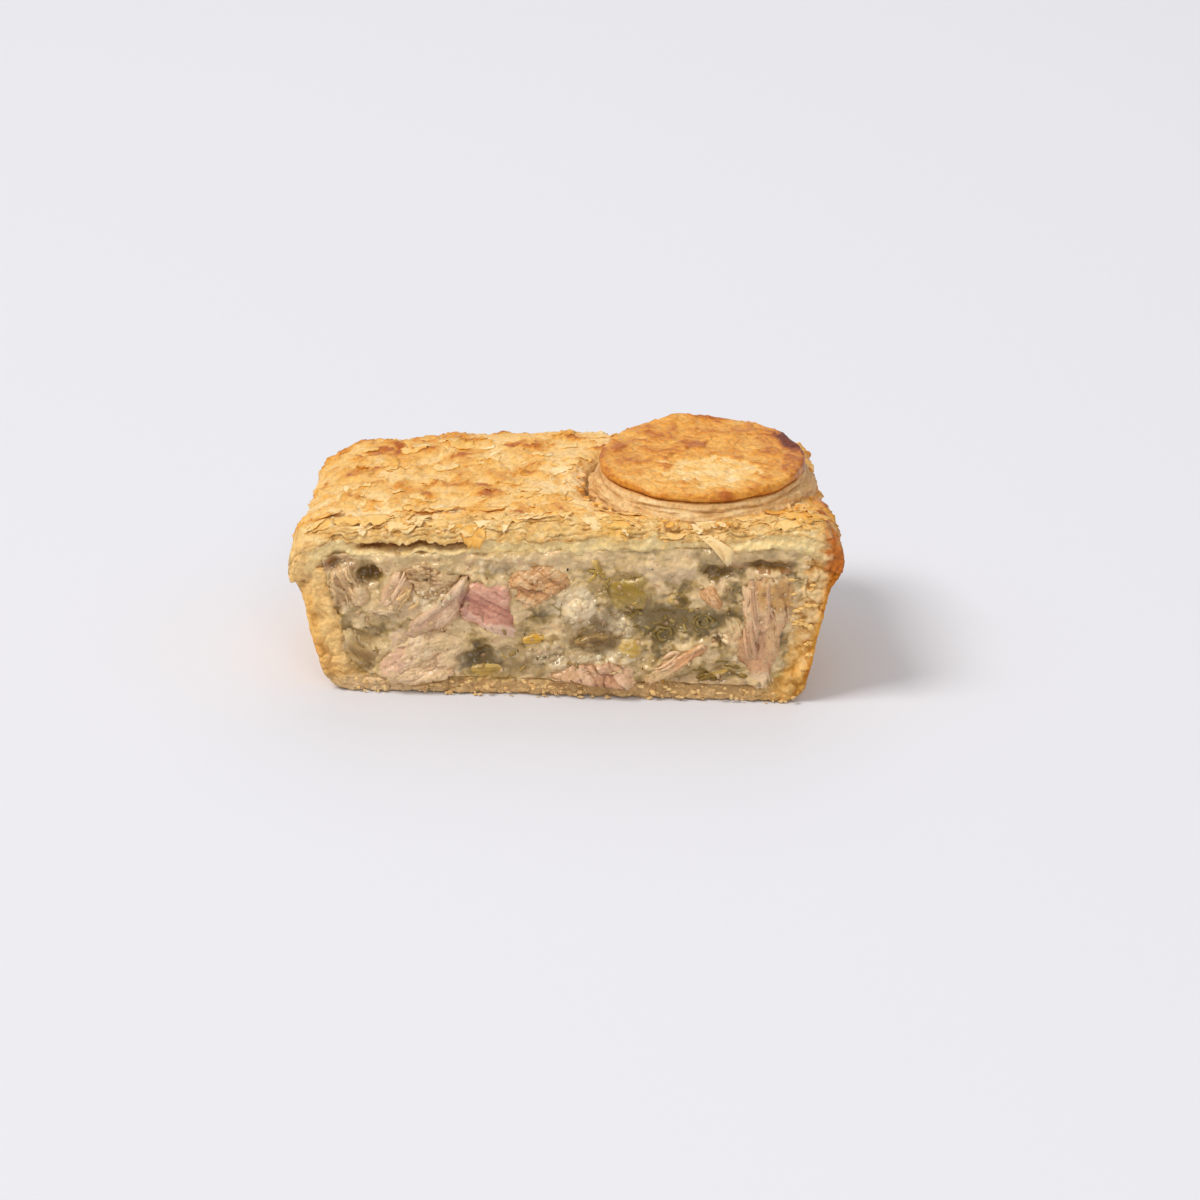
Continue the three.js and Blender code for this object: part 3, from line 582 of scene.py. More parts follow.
def make_lid():
    """The lid as a box that is bent to the pie's plan: its top has the baked skin, its front is a band of
    dough under a torn lip of sheets that step back like terraces, its sides bulge, come down over the case
    and carry on the skin of the top as if it were unrolled, and its underside is closed to one point."""
    places, faces = block(*LID_CELLS, "front back left right top")
    u, v, w = (places / LID_CELLS).T
    u = mix(u, 0.5 - 0.5 * np.cos(np.pi * u), 0.35)
    bulge = 0.9 * (np.sin(np.pi * np.minimum(w + 0.2, 1)) - 0.45)
    x, y = oblong(u, v, RIM_WIDTH / 2 - 0.5 + bulge, DEPTH / 2 - 0.5 + bulge, BACK_CORNER)
    front = v == 0
    side = ~front & (w <= 0.999)
    over_wall = 1 - rise(inset(x, y), WALL - 3, WALL + 3)
    flank = 1 - rise(inset(x, y), WALL - 3.5, WALL + 1.5)

    # The torn lip: sheets that step up and back, most where they have come loose from each other.
    climb = np.clip((w - DOUGH_SHARE) / (1 - DOUGH_SHARE), 0, 1)
    drift = noise(x / 15, climb * 2, seed=50) + 0.5 * noise(x / 5, climb * 4, seed=51)
    stack = np.clip(climb * LIP_SHEETS + drift * np.sin(np.pi * climb), 0, LIP_SHEETS - 0.001)
    sheet = np.floor(stack)
    part = stack - sheet
    loose = rise(noise(x / 7, climb * 3, seed=55), -0.5, 0.1) * (1 - flank)
    step_z = mix(climb, (sheet + rise(part, 0.0, 0.35)) / LIP_SHEETS, loose)
    step_y = mix(climb, (sheet + rise(part, 0.30, 1.0)) / LIP_SHEETS, loose)
    reach = noise(x / 9, sheet * 7.3, seed=52) + 0.6 * noise(x / 3, sheet * 7.3, seed=53)
    reach = reach + 0.35 * noise(x / 1.1, sheet * 7.3, seed=54)
    ragged = 0.9 * reach * (0.3 + 0.7 * loose) * rise(climb, 0.0, 0.08) * (1 - rise(climb, 0.9, 1.0))

    # The lower edge, which hangs over the case and meets the filling, and the band of dough above it.
    droop = 1.7 * noise(x / 7, seed=56) + 0.9 * noise(x / 2.4, y / 2.4, seed=57) - 1.3
    droop = droop + 0.6 * hump(x, y, -50.6, CUT_Y, 2.0, 9.0)
    overhang = -2.0 - 0.8 * noise(x / 2, y / 2.5, seed=68) - 1.3 * rise(-x, 52, 58)
    low = lid_underside(x, y) + mix(droop, overhang, over_wall)
    seam = np.where(front, sauce_front(x, low)[0] + 1.2, 0)
    torn_edge = w + 0.055 * noise(x / 6, seed=45) + 0.035 * noise(x / 1.8, seed=44)
    lumps = 0.75 * noise(x / 4.0, w * 5, seed=63) + 0.35 * noise(x / 1.2, w * 12, seed=64)
    wide = np.clip(1 - rise(np.abs(x + 34.5), 11, 14) + 0.3 * noise(x / 3, seed=67), 0, 1)
    hollow = 2.3 * wide * ridge(w + 0.03 * noise(x / 4, seed=49), 0.23, 0.055)
    hollow = hollow + 1.6 * hump(x, w, 30.0, 0.15, 5.0, 0.06)
    slab = wide * ridge(w, 0.10, 0.05) + hump(x, w, 45.0, 0.12, 7.0, 0.08)
    dough = mix(seam, 0.3 - lumps * (1 - 0.5 * slab) - 0.9 * slab, rise(torn_edge, 0.0, 0.16))
    lip_y = LIP_BACK * (1 - np.cos(step_y * np.pi / 2)) - ragged
    lip_y = lip_y + dough * (1 - rise(climb, 0.0, 0.12)) + hollow
    plain = 1 - rise(climb, 0.1, 0.7)
    back_off = np.where(side, mix(lip_y, -0.4, plain), lip_y)
    y = y + back_off * (1 - rise(y - CUT_Y, 0, 20))

    # The top, and the sides with the same skin unrolled down them; out is the way out of the pie.
    beyond_x = np.maximum(np.abs(x) - RIM_WIDTH / 2 + BACK_CORNER, 0)
    beyond_y = np.maximum(y - DEPTH / 2 + BACK_CORNER, 0)
    beyond = np.hypot(beyond_x, beyond_y) + 1e-6
    out_x, out_y = np.sign(x) * beyond_x / beyond, beyond_y / beyond
    unrolled = np.where(side, LID_SIDE * (1 - w), 0)
    relief, bake = lid_skin(x + out_x * unrolled, y + out_y * unrolled)
    inward = inset(x, y)
    gap = ridge(from_round(x, y), 2.6, 1.3) * (1 - rise(x, 6, 18))
    high = lid_top(x, y) + relief * rise(inward, -1.0, 3.0) - 1.8 * gap
    fall = high - LIP_FALL + 1.1 * noise(x / 6, seed=47) + 0.6 * noise(x / 2, seed=48)
    lip_z = mix(fall, high, np.sin(step_z * np.pi / 2))
    lip_z = np.where(w < DOUGH_SHARE, mix(low, fall, w / DOUGH_SHARE), lip_z)
    z = np.where(front, lip_z, mix(low, high, w))
    crag = relief + 0.4 * rough(x / 3, y / 3, z / 1.4, seed=59)
    crag = crag * np.where(side, 1, 1 - rise(inward, 0.8, 6.0)) * rise(v, 0.0, 0.05)
    x = x + out_x * crag
    y = y + out_y * crag
    crust_out, crust_tint = cut_crust(x, z)
    flank = flank * plain * front
    y = mix(y, CUT_Y - 0.35 - CRUMB_RELIEF * crust_out, flank)

    # Baked tints on the top and sides, and torn sheets, dough and cut crust at the front, with painted shade
    # in grooves and hollows.
    low_down = np.where(side, rise(1 - w, 0.0, 0.5), 0)
    bake = bake + (0.04 + 0.16 * noise(x / 4, y / 4, z / 3, seed=60)) * low_down
    bake = np.minimum(bake + 0.08 * (1 - rise(inward, 0, 6)) * rise(y, -30, -20), 0.86)
    bake = bake - 0.22 * (1 - rise(x, -60, -52)) * low_down * (1 - rise(y, -20, 0))
    # Painted shade darkens the groove round the round's left side.
    tint = stain(pastry_tint(bake), (140, 102, 60), 0.75 * gap)
    tone = 0.5 + 0.45 * noise(x / 3, z / 1.2, seed=61) + 0.25 * noise(x / 0.9, z / 0.8, seed=66)
    torn_tint = ramp(tone, (0, (252, 226, 172)), (0.5, (233, 190, 116)), (1, (208, 144, 60)))
    # Painted shade under each loose sheet, where it lifts off the one below.
    between = loose * (1 - rise(part, 0.0, 0.14)) * rise(climb, 0.02, 0.1)
    torn_tint = stain(torn_tint, (172, 110, 42), 0.75 * between)
    dough_tint = ramp(tone, (0, (252, 230, 176)), (0.5, (247, 217, 153)), (1, (238, 197, 122)))
    doughy = rise(torn_edge + 0.04 * noise(x / 2, z, seed=69), 0.03, 0.13)
    dough_tint = mix(sauce_look(x, z)[0], dough_tint, doughy[:, None])
    front_tint = mix(dough_tint, torn_tint, rise(climb, 0.0, 0.15)[:, None])
    front_tint = stain(front_tint, (238, 184, 88), 0.7 * hump(x, w, 11.5, 0.55, 4.0, 0.35))
    # Painted shade darkens the hollows under the lip to orange brown.
    front_tint = stain(front_tint, (150, 84, 12), 0.42 * hollow)
    front_tint = mix(front_tint, crust_tint, flank[:, None])
    blister = noise(x / 1.6, z / 1.4, seed=46)
    browned = (0.85 + 0.6 * blister) * rise(x + 1.6 * blister, 57.0, 60.5)
    front_tint = stain(front_tint, (194, 106, 16), browned)
    tint = mix(tint, front_tint, np.where(front, 1 - rise(climb, 0.8, 1.0), 0.0)[:, None])
    shine = 0.55 + 0.5 * noise(x / 5, y / 5, seed=62) + 0.5 * (bake - 0.4)
    shine = np.where(front, 0.25, shine)
    points = np.column_stack([narrowed(x, y), y, z])
    middle = np.array([0.0, 0.0, lid_underside(0.0, 0.0) + GAP])
    points, faces = close_with_point(points, faces, middle)
    make_piece("lid", points, faces, LID_SKIN, "flaky_lid", ["pastry_lid"],
               tint=np.vstack([tint, tint[:1]]), gloss=np.append(shine, 0))


# The pastry round.

ROUND_CELLS = (152, 316)
# The round's outline from the middle of its top, over the rolled edge and the crack under it, to its foot:
# share along, distance from the middle, height over the top.
ROUND_OUTLINE = np.array([
    (0.00, 0.0, 0.2), (0.42, 19.0, 0.05), (0.52, 22.3, 0.0), (0.555, 23.1, -0.25), (0.575, 23.5, -0.8),
    (0.60, 23.6, -1.5), (0.62, 23.3, -2.0), (0.635, 22.6, -2.2), (0.65, 22.5, -2.4), (0.67, 23.2, -2.6),
    (0.72, 23.9, -3.4), (0.78, 24.2, -4.6), (0.84, 25.2, -5.9), (0.90, 26.0, -7.3), (0.94, 26.0, -8.6),
    (0.97, 25.4, -10.0), (1.0, 0.0, -10.0),
])
# Torn ledges down the round's side: height over the top, and how far each steps out.
ROUND_LEDGES = ((-4.6, 0.9), (-6.9, 1.0))


def make_round():
    """A disc of puff pastry: an outline turned round its middle, with a wrinkled baked cap, a crack under
    the cap's edge at the front, pale leaves and torn ledges down the flared side, and a burnt place on the
    right of its rim. The whole disc leans a little to the front."""
    share, angle, faces = pod(*ROUND_CELLS)
    radius = np.interp(share, ROUND_OUTLINE[:, 0], ROUND_OUTLINE[:, 1])
    height = np.interp(share, ROUND_OUTLINE[:, 0], ROUND_OUTLINE[:, 2])
    east, north = np.cos(angle), np.sin(angle)
    cracked = rise(-north + 0.35 * noise(east * 2.5, north * 2.5, seed=91), 0.0, 0.75)
    closed = np.where((share > 0.57) & (share < 0.75), np.maximum(radius, 23.35), radius)
    radius = mix(closed, radius, cracked)
    outline = 1 + 0.014 * noise(east * 1.6, north * 1.6, seed=71)
    outline = outline + 0.010 * noise(east * 5, north * 5, seed=72)
    x = radius * outline * east
    y = radius * outline * north
    out = np.hypot(x, y)
    cap = 1 - rise(share, 0.56, 0.60)
    side = rise(share, 0.655, 0.685)

    # The cap: domes, wrinkles and creases, which go on over the edge as if unrolled, and a bare patch.
    unrolled = 1 + np.maximum(0, -height) * 1.3 / ROUND_RADIUS
    pull_x = unrolled * x + 2.2 * noise(x / 6, y / 6, 1.0, seed=73) + 0.8 * noise(x / 2, y / 2, 1.0, seed=70)
    pull_y = unrolled * y + 2.2 * noise(x / 6, y / 6, 5.0, seed=73) + 0.8 * noise(x / 2, y / 2, 5.0, seed=70)
    near, _, number = cells(pull_x / 8.0, pull_y / 7.0, seed=74)
    dome = np.clip(1 - (near / 0.65) ** 2, 0, 1) * number
    wrinkle = (1 - np.abs(noise(pull_x / 6.0, pull_y / 3.0, seed=75))) ** 8
    crease = (1 - np.abs(noise(pull_x / 4.0 + pull_y / 5.0, pull_y / 6.0, seed=86))) ** 12
    crackle = noise(pull_x / 1.7, pull_y / 1.3, seed=98)
    fine = noise(x / 1.6, y / 1.3, seed=76)
    patch = hump(*astray(x, y, 2.0, 3, (77, 78)), 2.5, -10.0, 12.0, 8.5)
    patch = patch + 0.36 * noise(x / 2.2, y / 2.0, seed=79)
    bare = rise(patch, 0.36, 0.46) * cap
    lift = 0.55 * dome + 0.22 * wrinkle + 0.25 * crease + 0.05 * fine - 0.35 * bare - 0.3 + 0.25 * crackle
    lift = lift + 1.5 * hump(x, y, -6.5, 20.5, 4.5, 3.5) + 0.8 * hump(x, y, 5.0, 10.5, 4.0, 3.0)
    height = height + lift * (1 - rise(share, 0.56, 0.62))
    roll = 0.45 * noise(east * 3.2, north * 3.2, seed=87) * rise(share, 0.5, 0.56) * (1 - side)
    height = height - roll

    # The side: fine leaves, and ledges that step out where they are whole.
    leaf = noise(east * 3, north * 3, height / 1.6, seed=80)
    leaf = leaf + 0.6 * noise(east * 12, north * 12, height / 1.1, seed=81)
    leaf = leaf + 0.7 * noise(east * 5, north * 5, height / 0.5, seed=95)
    ledges = np.zeros(share.shape)
    under = np.zeros(share.shape)
    for ledge, (drop, step_out) in enumerate(ROUND_LEDGES):
        level = drop + 1.3 * noise(east * 1.8, north * 1.8, ledge, seed=82)
        level = level + 0.35 * noise(east * 8, north * 8, ledge, seed=90)
        ragged = 1 + 0.6 * noise(east * 12, north * 12, ledge, seed=99)
        whole = rise(noise(east * 3.5, north * 3.5, ledge + 5, seed=100), -0.45, 0.15)
        smooth = rise(drop - height, -1.6, 1.6)
        step = mix(smooth, ragged * rise(level - height, 0.0, 0.35), whole)
        ledges = ledges + step_out * (step - smooth)
        under = np.maximum(under, whole * ridge(height - level, 0.35, 0.35))
    swell = 1.0 + side * (0.013 * leaf + ledges * (1 - rise(share, 0.93, 0.97)) / 24.0)
    x, y = x * swell, y * swell

    blotch = noise(pull_x / 4.5, pull_y / 3.4, seed=83) + 0.4 * noise(pull_x / 2.0, pull_y / 1.6, seed=89)
    bake = 0.62 + 0.18 * (dome - 0.25) + 0.14 * blotch + 0.10 * crackle + 0.03 * fine
    bake = bake + 0.18 * wrinkle * rise(noise(x / 5, y / 5, seed=88), -0.3, 0.4) + 0.10 * crease
    bake = bake + 0.10 * rise(out, 22.5, 23.5) - 0.14 * hump(x, y, -3, -17, 16, 5)
    bake = np.minimum(mix(bake, 0.28 + 0.22 * blotch + 0.14 * wrinkle, bare), 0.84)
    burnt = hump(x + 0.8 * noise(x / 2, y / 2, seed=84), y, 20.8, 9.5, 4.6, 6.4)
    bake = bake + 0.55 * burnt * rise(out, 17, 21)
    char = rise(burnt, 0.40, 0.75) * rise(out, 18.5, 21.0) * (1 - side)
    tint = stain(pastry_tint(bake), (112, 44, 18), char)
    layers = ramp(0.5 + 0.34 * leaf, (0, (196, 140, 74)), (0.5, (234, 190, 128)), (1, (252, 222, 170)))
    # Painted shade, darker brown, in the corner just above each whole ledge.
    layers = stain(layers, (172, 114, 54), 0.6 * under)
    tint = mix(tint, layers, (side * (0.75 + 0.25 * cracked))[:, None])
    # Painted shade darkens the crack under the cap's edge.
    tint = stain(tint, (160, 100, 46), 0.75 * cracked * ridge(share, 0.655, 0.012))
    shine = np.clip(0.65 + 0.35 * noise(x / 4, y / 4, seed=85), 0, 1)
    shine = shine * (1 - side) * (1 - 0.5 * bare) * (1 - 0.6 * char)

    lean_y = y * math.cos(ROUND_LEAN) - height * math.sin(ROUND_LEAN)
    lean_z = y * math.sin(ROUND_LEAN) + height * math.cos(ROUND_LEAN)
    points = np.column_stack([ROUND_X + x, ROUND_Y + lean_y, ROUND_TOP + lean_z])
    make_piece("round", points, faces, ROUND_SKIN, "puff_round", ["pastry_round"], tint=tint, gloss=shine)


# The case.

CRUST_CELLS = (320, 66, 1)
CRUMB_CELLS = (560, 6, 22)
CRUMB_RELIEF = 1.1
# Shares of the walk round half the plan: along the side, and round the back corner.
SIDE_SHARE = 0.58
CORNER_SHARE = 0.18
# Share of the section's points that lie across the base, on the outside and at the cut.
BASE_SHARE_OUTSIDE = 0.2
BASE_SHARE_AT_CUT = 0.6
# How far the left wall bellies out.
BELLY = 1.3


def case_section(p, base_share, side, inner):
    """Half of the case's section: p from the middle of the base to its edge, then up to the rim."""
    across = np.clip(p / base_share, 0, 1)
    climb = np.clip((p - base_share) / (1 - base_share), 0, 1) ** 1.25
    top = rim_height(side * WALL_TOP_WIDTH / 2)
    if inner:
        z = FLOOR + climb * (top - FLOOR)
        rounding = pulled_in(z, FLOOR + FLOOR_ROUND, FLOOR_ROUND) + WALL
        flare = 0
    else:
        z = climb * top
        rounding = pulled_in(z, FOOT_ROUND, FOOT_ROUND)
        flare = (RIM_WIDTH - WALL_TOP_WIDTH) / 2 * rise(z, top - LIP_DROP, top - 1)
        flare = flare + BELLY * np.sin(np.pi * np.clip(z / top, 0, 1)) * np.maximum(0, -side)
    half = wall_half(z) - rounding + flare
    back = wall_back(z) - rounding - 0.8 * flare
    return across, z, half, back


def round_the_plan(t, half, back, corner):
    """A walk round the pie's plan from the cut at the left, round the back, to the cut at the right: the
    place, and the way out of the pie there."""
    side = np.where(t < 0.5, -1.0, 1.0)
    walked = 1 - np.abs(2 * t - 1)
    angle = np.clip((walked - SIDE_SHARE) / CORNER_SHARE, 0, 1) * np.pi / 2
    behind = np.clip((walked - SIDE_SHARE - CORNER_SHARE) / (1 - SIDE_SHARE - CORNER_SHARE), 0, 1)
    along = np.clip(walked / SIDE_SHARE, 0, 1)
    x = (half - corner) * (1 - behind) + corner * np.cos(angle)
    y = mix(CUT_Y, back - corner, along) + corner * np.sin(angle)
    return side * x, y, side * np.cos(angle), np.sin(angle)


def crumb_lumps(x, y, z, seed):
    """Crumbly dough: crumbs of about one and three millimetres, pulled out of line, on lumps of four."""
    pull_x = x + 1.5 * noise(x / 2.6, y / 2.6, z / 2.6, seed + 4)
    pull_z = z + 1.5 * noise(x / 2.6, y / 2.6, z / 2.6, seed + 5)
    near, following, number = cells(pull_x / 2.9, pull_z / 2.4 + 0.37 * y, seed + 3)
    large = np.sqrt(np.clip(1 - near * near * 1.8, 0, 1))
    large = large * (0.3 + 0.7 * number * rise(following - near, 0, 0.3))
    near, _, number = cells(pull_x / 1.1, pull_z / 1.0 + 0.37 * y, seed + 6)
    small = np.clip(1 - near * near * 1.8, 0, 1) * (0.3 + 0.7 * number)
    broad = noise(x / 4, y / 4, z / 4, seed)
    fine = noise(x / 0.6, y / 0.6, z / 0.6, seed + 1)
    return 0.5 * broad + 0.6 * (large - 0.4) + 0.32 * (small - 0.4) + 0.12 * fine


def make_case_crust():
    """The outside of the case: a shell that runs round the pie's plan, from the rim down the wall and under
    the base, with an outer and an inner skin. It starts just behind the cut."""
    places, faces = block(*CRUST_CELLS)
    t, p, inner = (places / CRUST_CELLS).T
    inner = inner == 1
    side = np.where(t < 0.5, -1.0, 1.0)
    corner_side = 1 - rise(1 - np.abs(2 * t - 1), 0.7, 1.0)
    skins = [case_section(p, BASE_SHARE_OUTSIDE, side * corner_side, flag) for flag in (False, True)]
    across, z, half, back = (np.where(inner, within, without) for without, within in zip(*skins))
    corner = np.where(inner, INNER_CORNER, BACK_CORNER - 2)
    x, y, out_x, out_y = round_the_plan(t, half, back, corner)
    around = x + y
    near, _, number = cells(around / 2.4, z / 2.0, seed=97)
    pore = np.clip(1 - near / 0.36, 0, 1) * rise(number, 0.35, 0.7)
    lumps = 0.55 * crumb_lumps(around, 0 * x, z, 90) + 0.5 * noise(x / 9, y / 9, z / 7, seed=92)
    lumps = lumps - 0.65 * pore
    wall = np.where(inner, 0, rise(z, 0.6, 3))
    lumps = lumps - 0.5 * (1 - rise(y - CUT_Y, 0.0, 2.0)) ** 2
    x = x + out_x * lumps * wall
    y = y + out_y * lumps * wall
    x = x * across
    y = mix(CUT_Y, y, across)
    y = mix(CUT_Y + 1.6, DEPTH / 2, (y - CUT_Y) / DEPTH)
    bake = 0.47 + 0.24 * noise(x / 9, y / 9, z / 6, seed=93) + 0.12 * noise(x / 3, y / 3, z / 2.4, seed=96)
    bake = bake + 0.12 * rough(x / 1.3, y / 1.3, z / 1.3, seed=94) + 0.14 * pore + 0.12 * lumps
    bake = bake + 0.14 * rise(z, 24, 33) + 0.14 * (1 - rise(z, 0, 6))
    points = np.column_stack([narrowed(x, y), y, z])
    make_piece("case_crust", points, faces, SHORTCRUST, "shortcrust", ["pastry_case"],
               tint=pastry_tint(bake), gloss=0.3 + 0.3 * bake)


def cut_crust(x, z):
    """Crumbly crust where it is cut: how far it stands out, and its tint: darker with painted shade in the
    gaps between lumps, and darker towards the baked skin outside and towards the base."""
    lumps = crumb_lumps(x, 0 * x, z, 104)
    skin = rise(np.abs(x) - wall_half(z) + 2.4, 0.0, 2.0) * rise(z, 4, 8)
    skin = skin * (1 - 0.8 * rise(-x, 50, 54) * rise(z, 20, 27))
    bake = 0.42 + 0.16 * noise(x / 5, z / 5, seed=107) + 0.12 * noise(x / 1.8, z / 1.8, seed=109)
    # Lower lumps are baked darker: painted shade between the crumbs.
    bake = bake - 0.12 * lumps + np.where(x < 0, 0.14, 0.26) * skin
    bake = bake + 0.14 * rise(x, 54, 61) * rise(z, 20, 30)
    bake = bake + 0.16 * rise(np.abs(x), 47, 54) * (1 - rise(z, 4, 12))
    near_base = 1 - rise(z + 2.0 * noise(x / 4, seed=108), 3, 10)
    low = 1 - rise(z, 2.5, 5)
    tint = stains(
        pastry_tint(bake),
        # Near the base: paler on its lumps, and painted shade, brown, between them.
        ((214, 178, 118), 0.55 * near_base * rise(lumps, -0.2, 0.4)),
        ((168, 126, 70), 0.60 * near_base * (1 - 0.5 * rise(lumps, 0, 0.5)) * (1 - 0.6 * rise(x, 40, 50))),
        # The left wall is pale inside its skin, and painted shade is brown in the gaps on both.
        ((246, 208, 146), 0.58 * rise(-x, 44, 48) * rise(z, 3, 7) * (1 - 0.55 * skin)),
        ((170, 114, 50), 0.55 * rise(-lumps, 0.05, 0.5) * (0.35 + 0.65 * rise(z, 3, 8))),
        # The right wall: a browned rim, pale lumps and painted shade in the gaps.
        ((188, 110, 26), 0.7 * rise(x, 57.5, 61) * rise(z, 24, 31)),
        ((232, 200, 150), 0.80 * rise(x, 46, 51) * (1 - skin) * rise(lumps, -0.4, 0.2) * rise(z, 6, 12)),
        ((150, 92, 30), 0.75 * rise(x, 48, 52) * rise(z, 15, 24) * rise(-lumps, -0.12, 0.30)),
        # Along the bottom: pale, golden brown at the right and palest at the left.
        ((220, 184, 134), 0.72 * low * (1 - rise(x, 40, 50))),
        ((184, 126, 48), 0.60 * rise(x, 49, 53) * (1 - rise(z, 4, 9)) * rise(-lumps, -0.4, 0.2)),
        ((246, 212, 164), 0.85 * rise(-x, 26, 34) * (1 - rise(-x, 48, 52)) * low),
    )
    return lumps, tint


def make_case_crumb():
    """The cut edge of the case: a band that goes down the left wall, across the base and up the right wall,
    with crumbly dough at the cut and ragged edges. Lumps of it stand in over the filling at the right."""
    places, faces = block(*CRUMB_CELLS)
    s, depth, q = (places / CRUMB_CELLS).T
    s = 2 * s - 1
    side = np.where(s < 0, -1.0, 1.0)
    p = np.abs(s)
    across, z_out, half_out, _ = case_section(p, BASE_SHARE_AT_CUT, side, False)
    x_out = across * half_out
    across, z_in, half_in, _ = case_section(p, BASE_SHARE_AT_CUT, side, True)
    x_in = across * half_in
    x = side * mix(x_out, x_in, q)
    z = mix(z_out, z_in, q)
    thick = np.hypot(x_out - x_in, z_out - z_in)
    into_x, into_z = side * (x_in - x_out) / thick, (z_in - z_out) / thick
    ragged = 0.8 * noise(x / 3.2, z / 3.2, seed=101) + 0.5 * noise(x / 1.2, z / 1.2, seed=102)
    wall = rise(p, 0.62, 0.8)
    inwards = 1.3 * ragged + 0.4 * wall + 1.1 * wall * (side > 0) + 0.5 * (1 - wall)
    outwards = 0.15 - 0.25 * ragged * wall
    push = np.where(q > 0.5, (2 * q - 1) * inwards, (1 - 2 * q) * outwards)
    x = x + into_x * push
    z = z + into_z * push
    edge = np.minimum(q, 1 - q) * thick
    lumps, tint = cut_crust(x, z)
    crumbly = CRUMB_RELIEF * (1 + 0.5 * (1 - wall) + 0.35 * wall * (side > 0))
    y = np.minimum(CUT_Y + 0.25 - crumbly * lumps, CUT_Y + 0.9) + 0.7 * (1 - rise(edge, 0, 1.2)) ** 2
    creamy = rise(q + 0.25 * noise(x / 2, z / 2, seed=110), 0.70, 1.0) * (1 - 0.6 * wall)
    tint = mix(tint, sauce_look(x, z)[0], (0.75 * creamy)[:, None])
    y = mix(y, CUT_Y + 3.0, depth)
    tuck = 1.8 * rise(depth, 0.45, 0.85) * (1 - q)
    x = x + into_x * tuck
    z = z + into_z * tuck
    points = np.column_stack([narrowed(x, y), y, np.maximum(z, 0)])
    make_piece("case_crumb", points, faces, SHORTCRUST, "shortcrust", ["pastry_case"],
               tint=tint, gloss=0.1 + 0.2 * q)


# How far out the filling stands at each place of the cut, so that loose bits can be laid on it: a map that
# reaches as far to the left as to the right, and up from the base, in mm.

MAP_STEP = 0.5
MAP_REACH = 70.0
MAP_HEIGHT = 42.0
# The filling's sides start this far behind the cut.
FILLING_SETBACK = 8.0
front_map = np.full((int(2 * MAP_REACH / MAP_STEP), int(MAP_HEIGHT / MAP_STEP)), CUT_Y + FILLING_SETBACK)


def front_cell(x, z):
    """Row and column of the map for a place at the cut."""
    row = np.clip(np.rint((x + MAP_REACH) / MAP_STEP), 0, front_map.shape[0] - 1).astype(int)
    column = np.clip(np.rint(z / MAP_STEP), 0, front_map.shape[1] - 1).astype(int)
    return row, column


def note_front(x, y, z):
    """Keeps the foremost y at each place."""
    np.minimum.at(front_map, front_cell(x, z), y)


def front_at(x, z):
    """The foremost y noted at a place."""
    return front_map[front_cell(x, z)]


# How near each place of the cut is to a piece, so that the sauce can climb on to the pieces.

piece_cover = np.zeros(front_map.shape)


def within_outline(grid_x, grid_z, corners):
    """Which places lie inside an outline: a line from there to the right crosses it an odd number of
    times, and from a place outside an even number."""
    corners = np.array(corners)
    within = np.zeros(grid_x.shape, bool)
    for (ax, az), (bx, bz) in zip(corners, np.roll(corners, -1, axis=0)):
        crossing = ax + (grid_z - az) * (bx - ax) / (bz - az + 1e-9)
        within ^= ((az > grid_z) != (bz > grid_z)) & (grid_x < crossing)
    return within


def note_pieces():
    """Fills the map: 1 inside the outline of a piece of meat, softened over about two mm at its edge."""
    rows, columns = piece_cover.shape
    grid_x, grid_z = np.meshgrid(np.arange(rows) * MAP_STEP - MAP_REACH, np.arange(columns) * MAP_STEP,
                                 indexing="ij")
    cover = np.zeros(piece_cover.shape)
    for piece in CHICKEN_PIECES.values():
        cover = np.maximum(cover, within_outline(grid_x, grid_z, piece[-1]))
    steps = np.arange(-5, 6)
    weights = np.exp(-(steps / 2.2) ** 2 / 2)
    weights = weights / weights.sum()
    for axis in (0, 1):
        cover = sum(share * np.roll(cover, step, axis) for step, share in zip(steps, weights))
    piece_cover[:] = cover


def cover_at(x, z):
    """How near a place is to a piece, blended between the map's four nearest cells."""
    i = np.clip((x + MAP_REACH) / MAP_STEP, 0, piece_cover.shape[0] - 1.001)
    j = np.clip(z / MAP_STEP, 0, piece_cover.shape[1] - 1.001)
    row, column = i.astype(int), j.astype(int)
    lower = mix(piece_cover[row, column], piece_cover[row + 1, column], i - row)
    upper = mix(piece_cover[row, column + 1], piece_cover[row + 1, column + 1], i - row)
    return mix(lower, upper, j - column)


# The filling.

FILLING_CELLS = (480, 5, 140)
# How far the sauce goes up behind the dough at the cut, and how far behind the cut its face lies.
UNDER_LID = 1.8
SAUCE_LEVEL = 0.7
# The point that closes the filling at its back.
FILLING_END = (0.0, 10.0, 18.0)
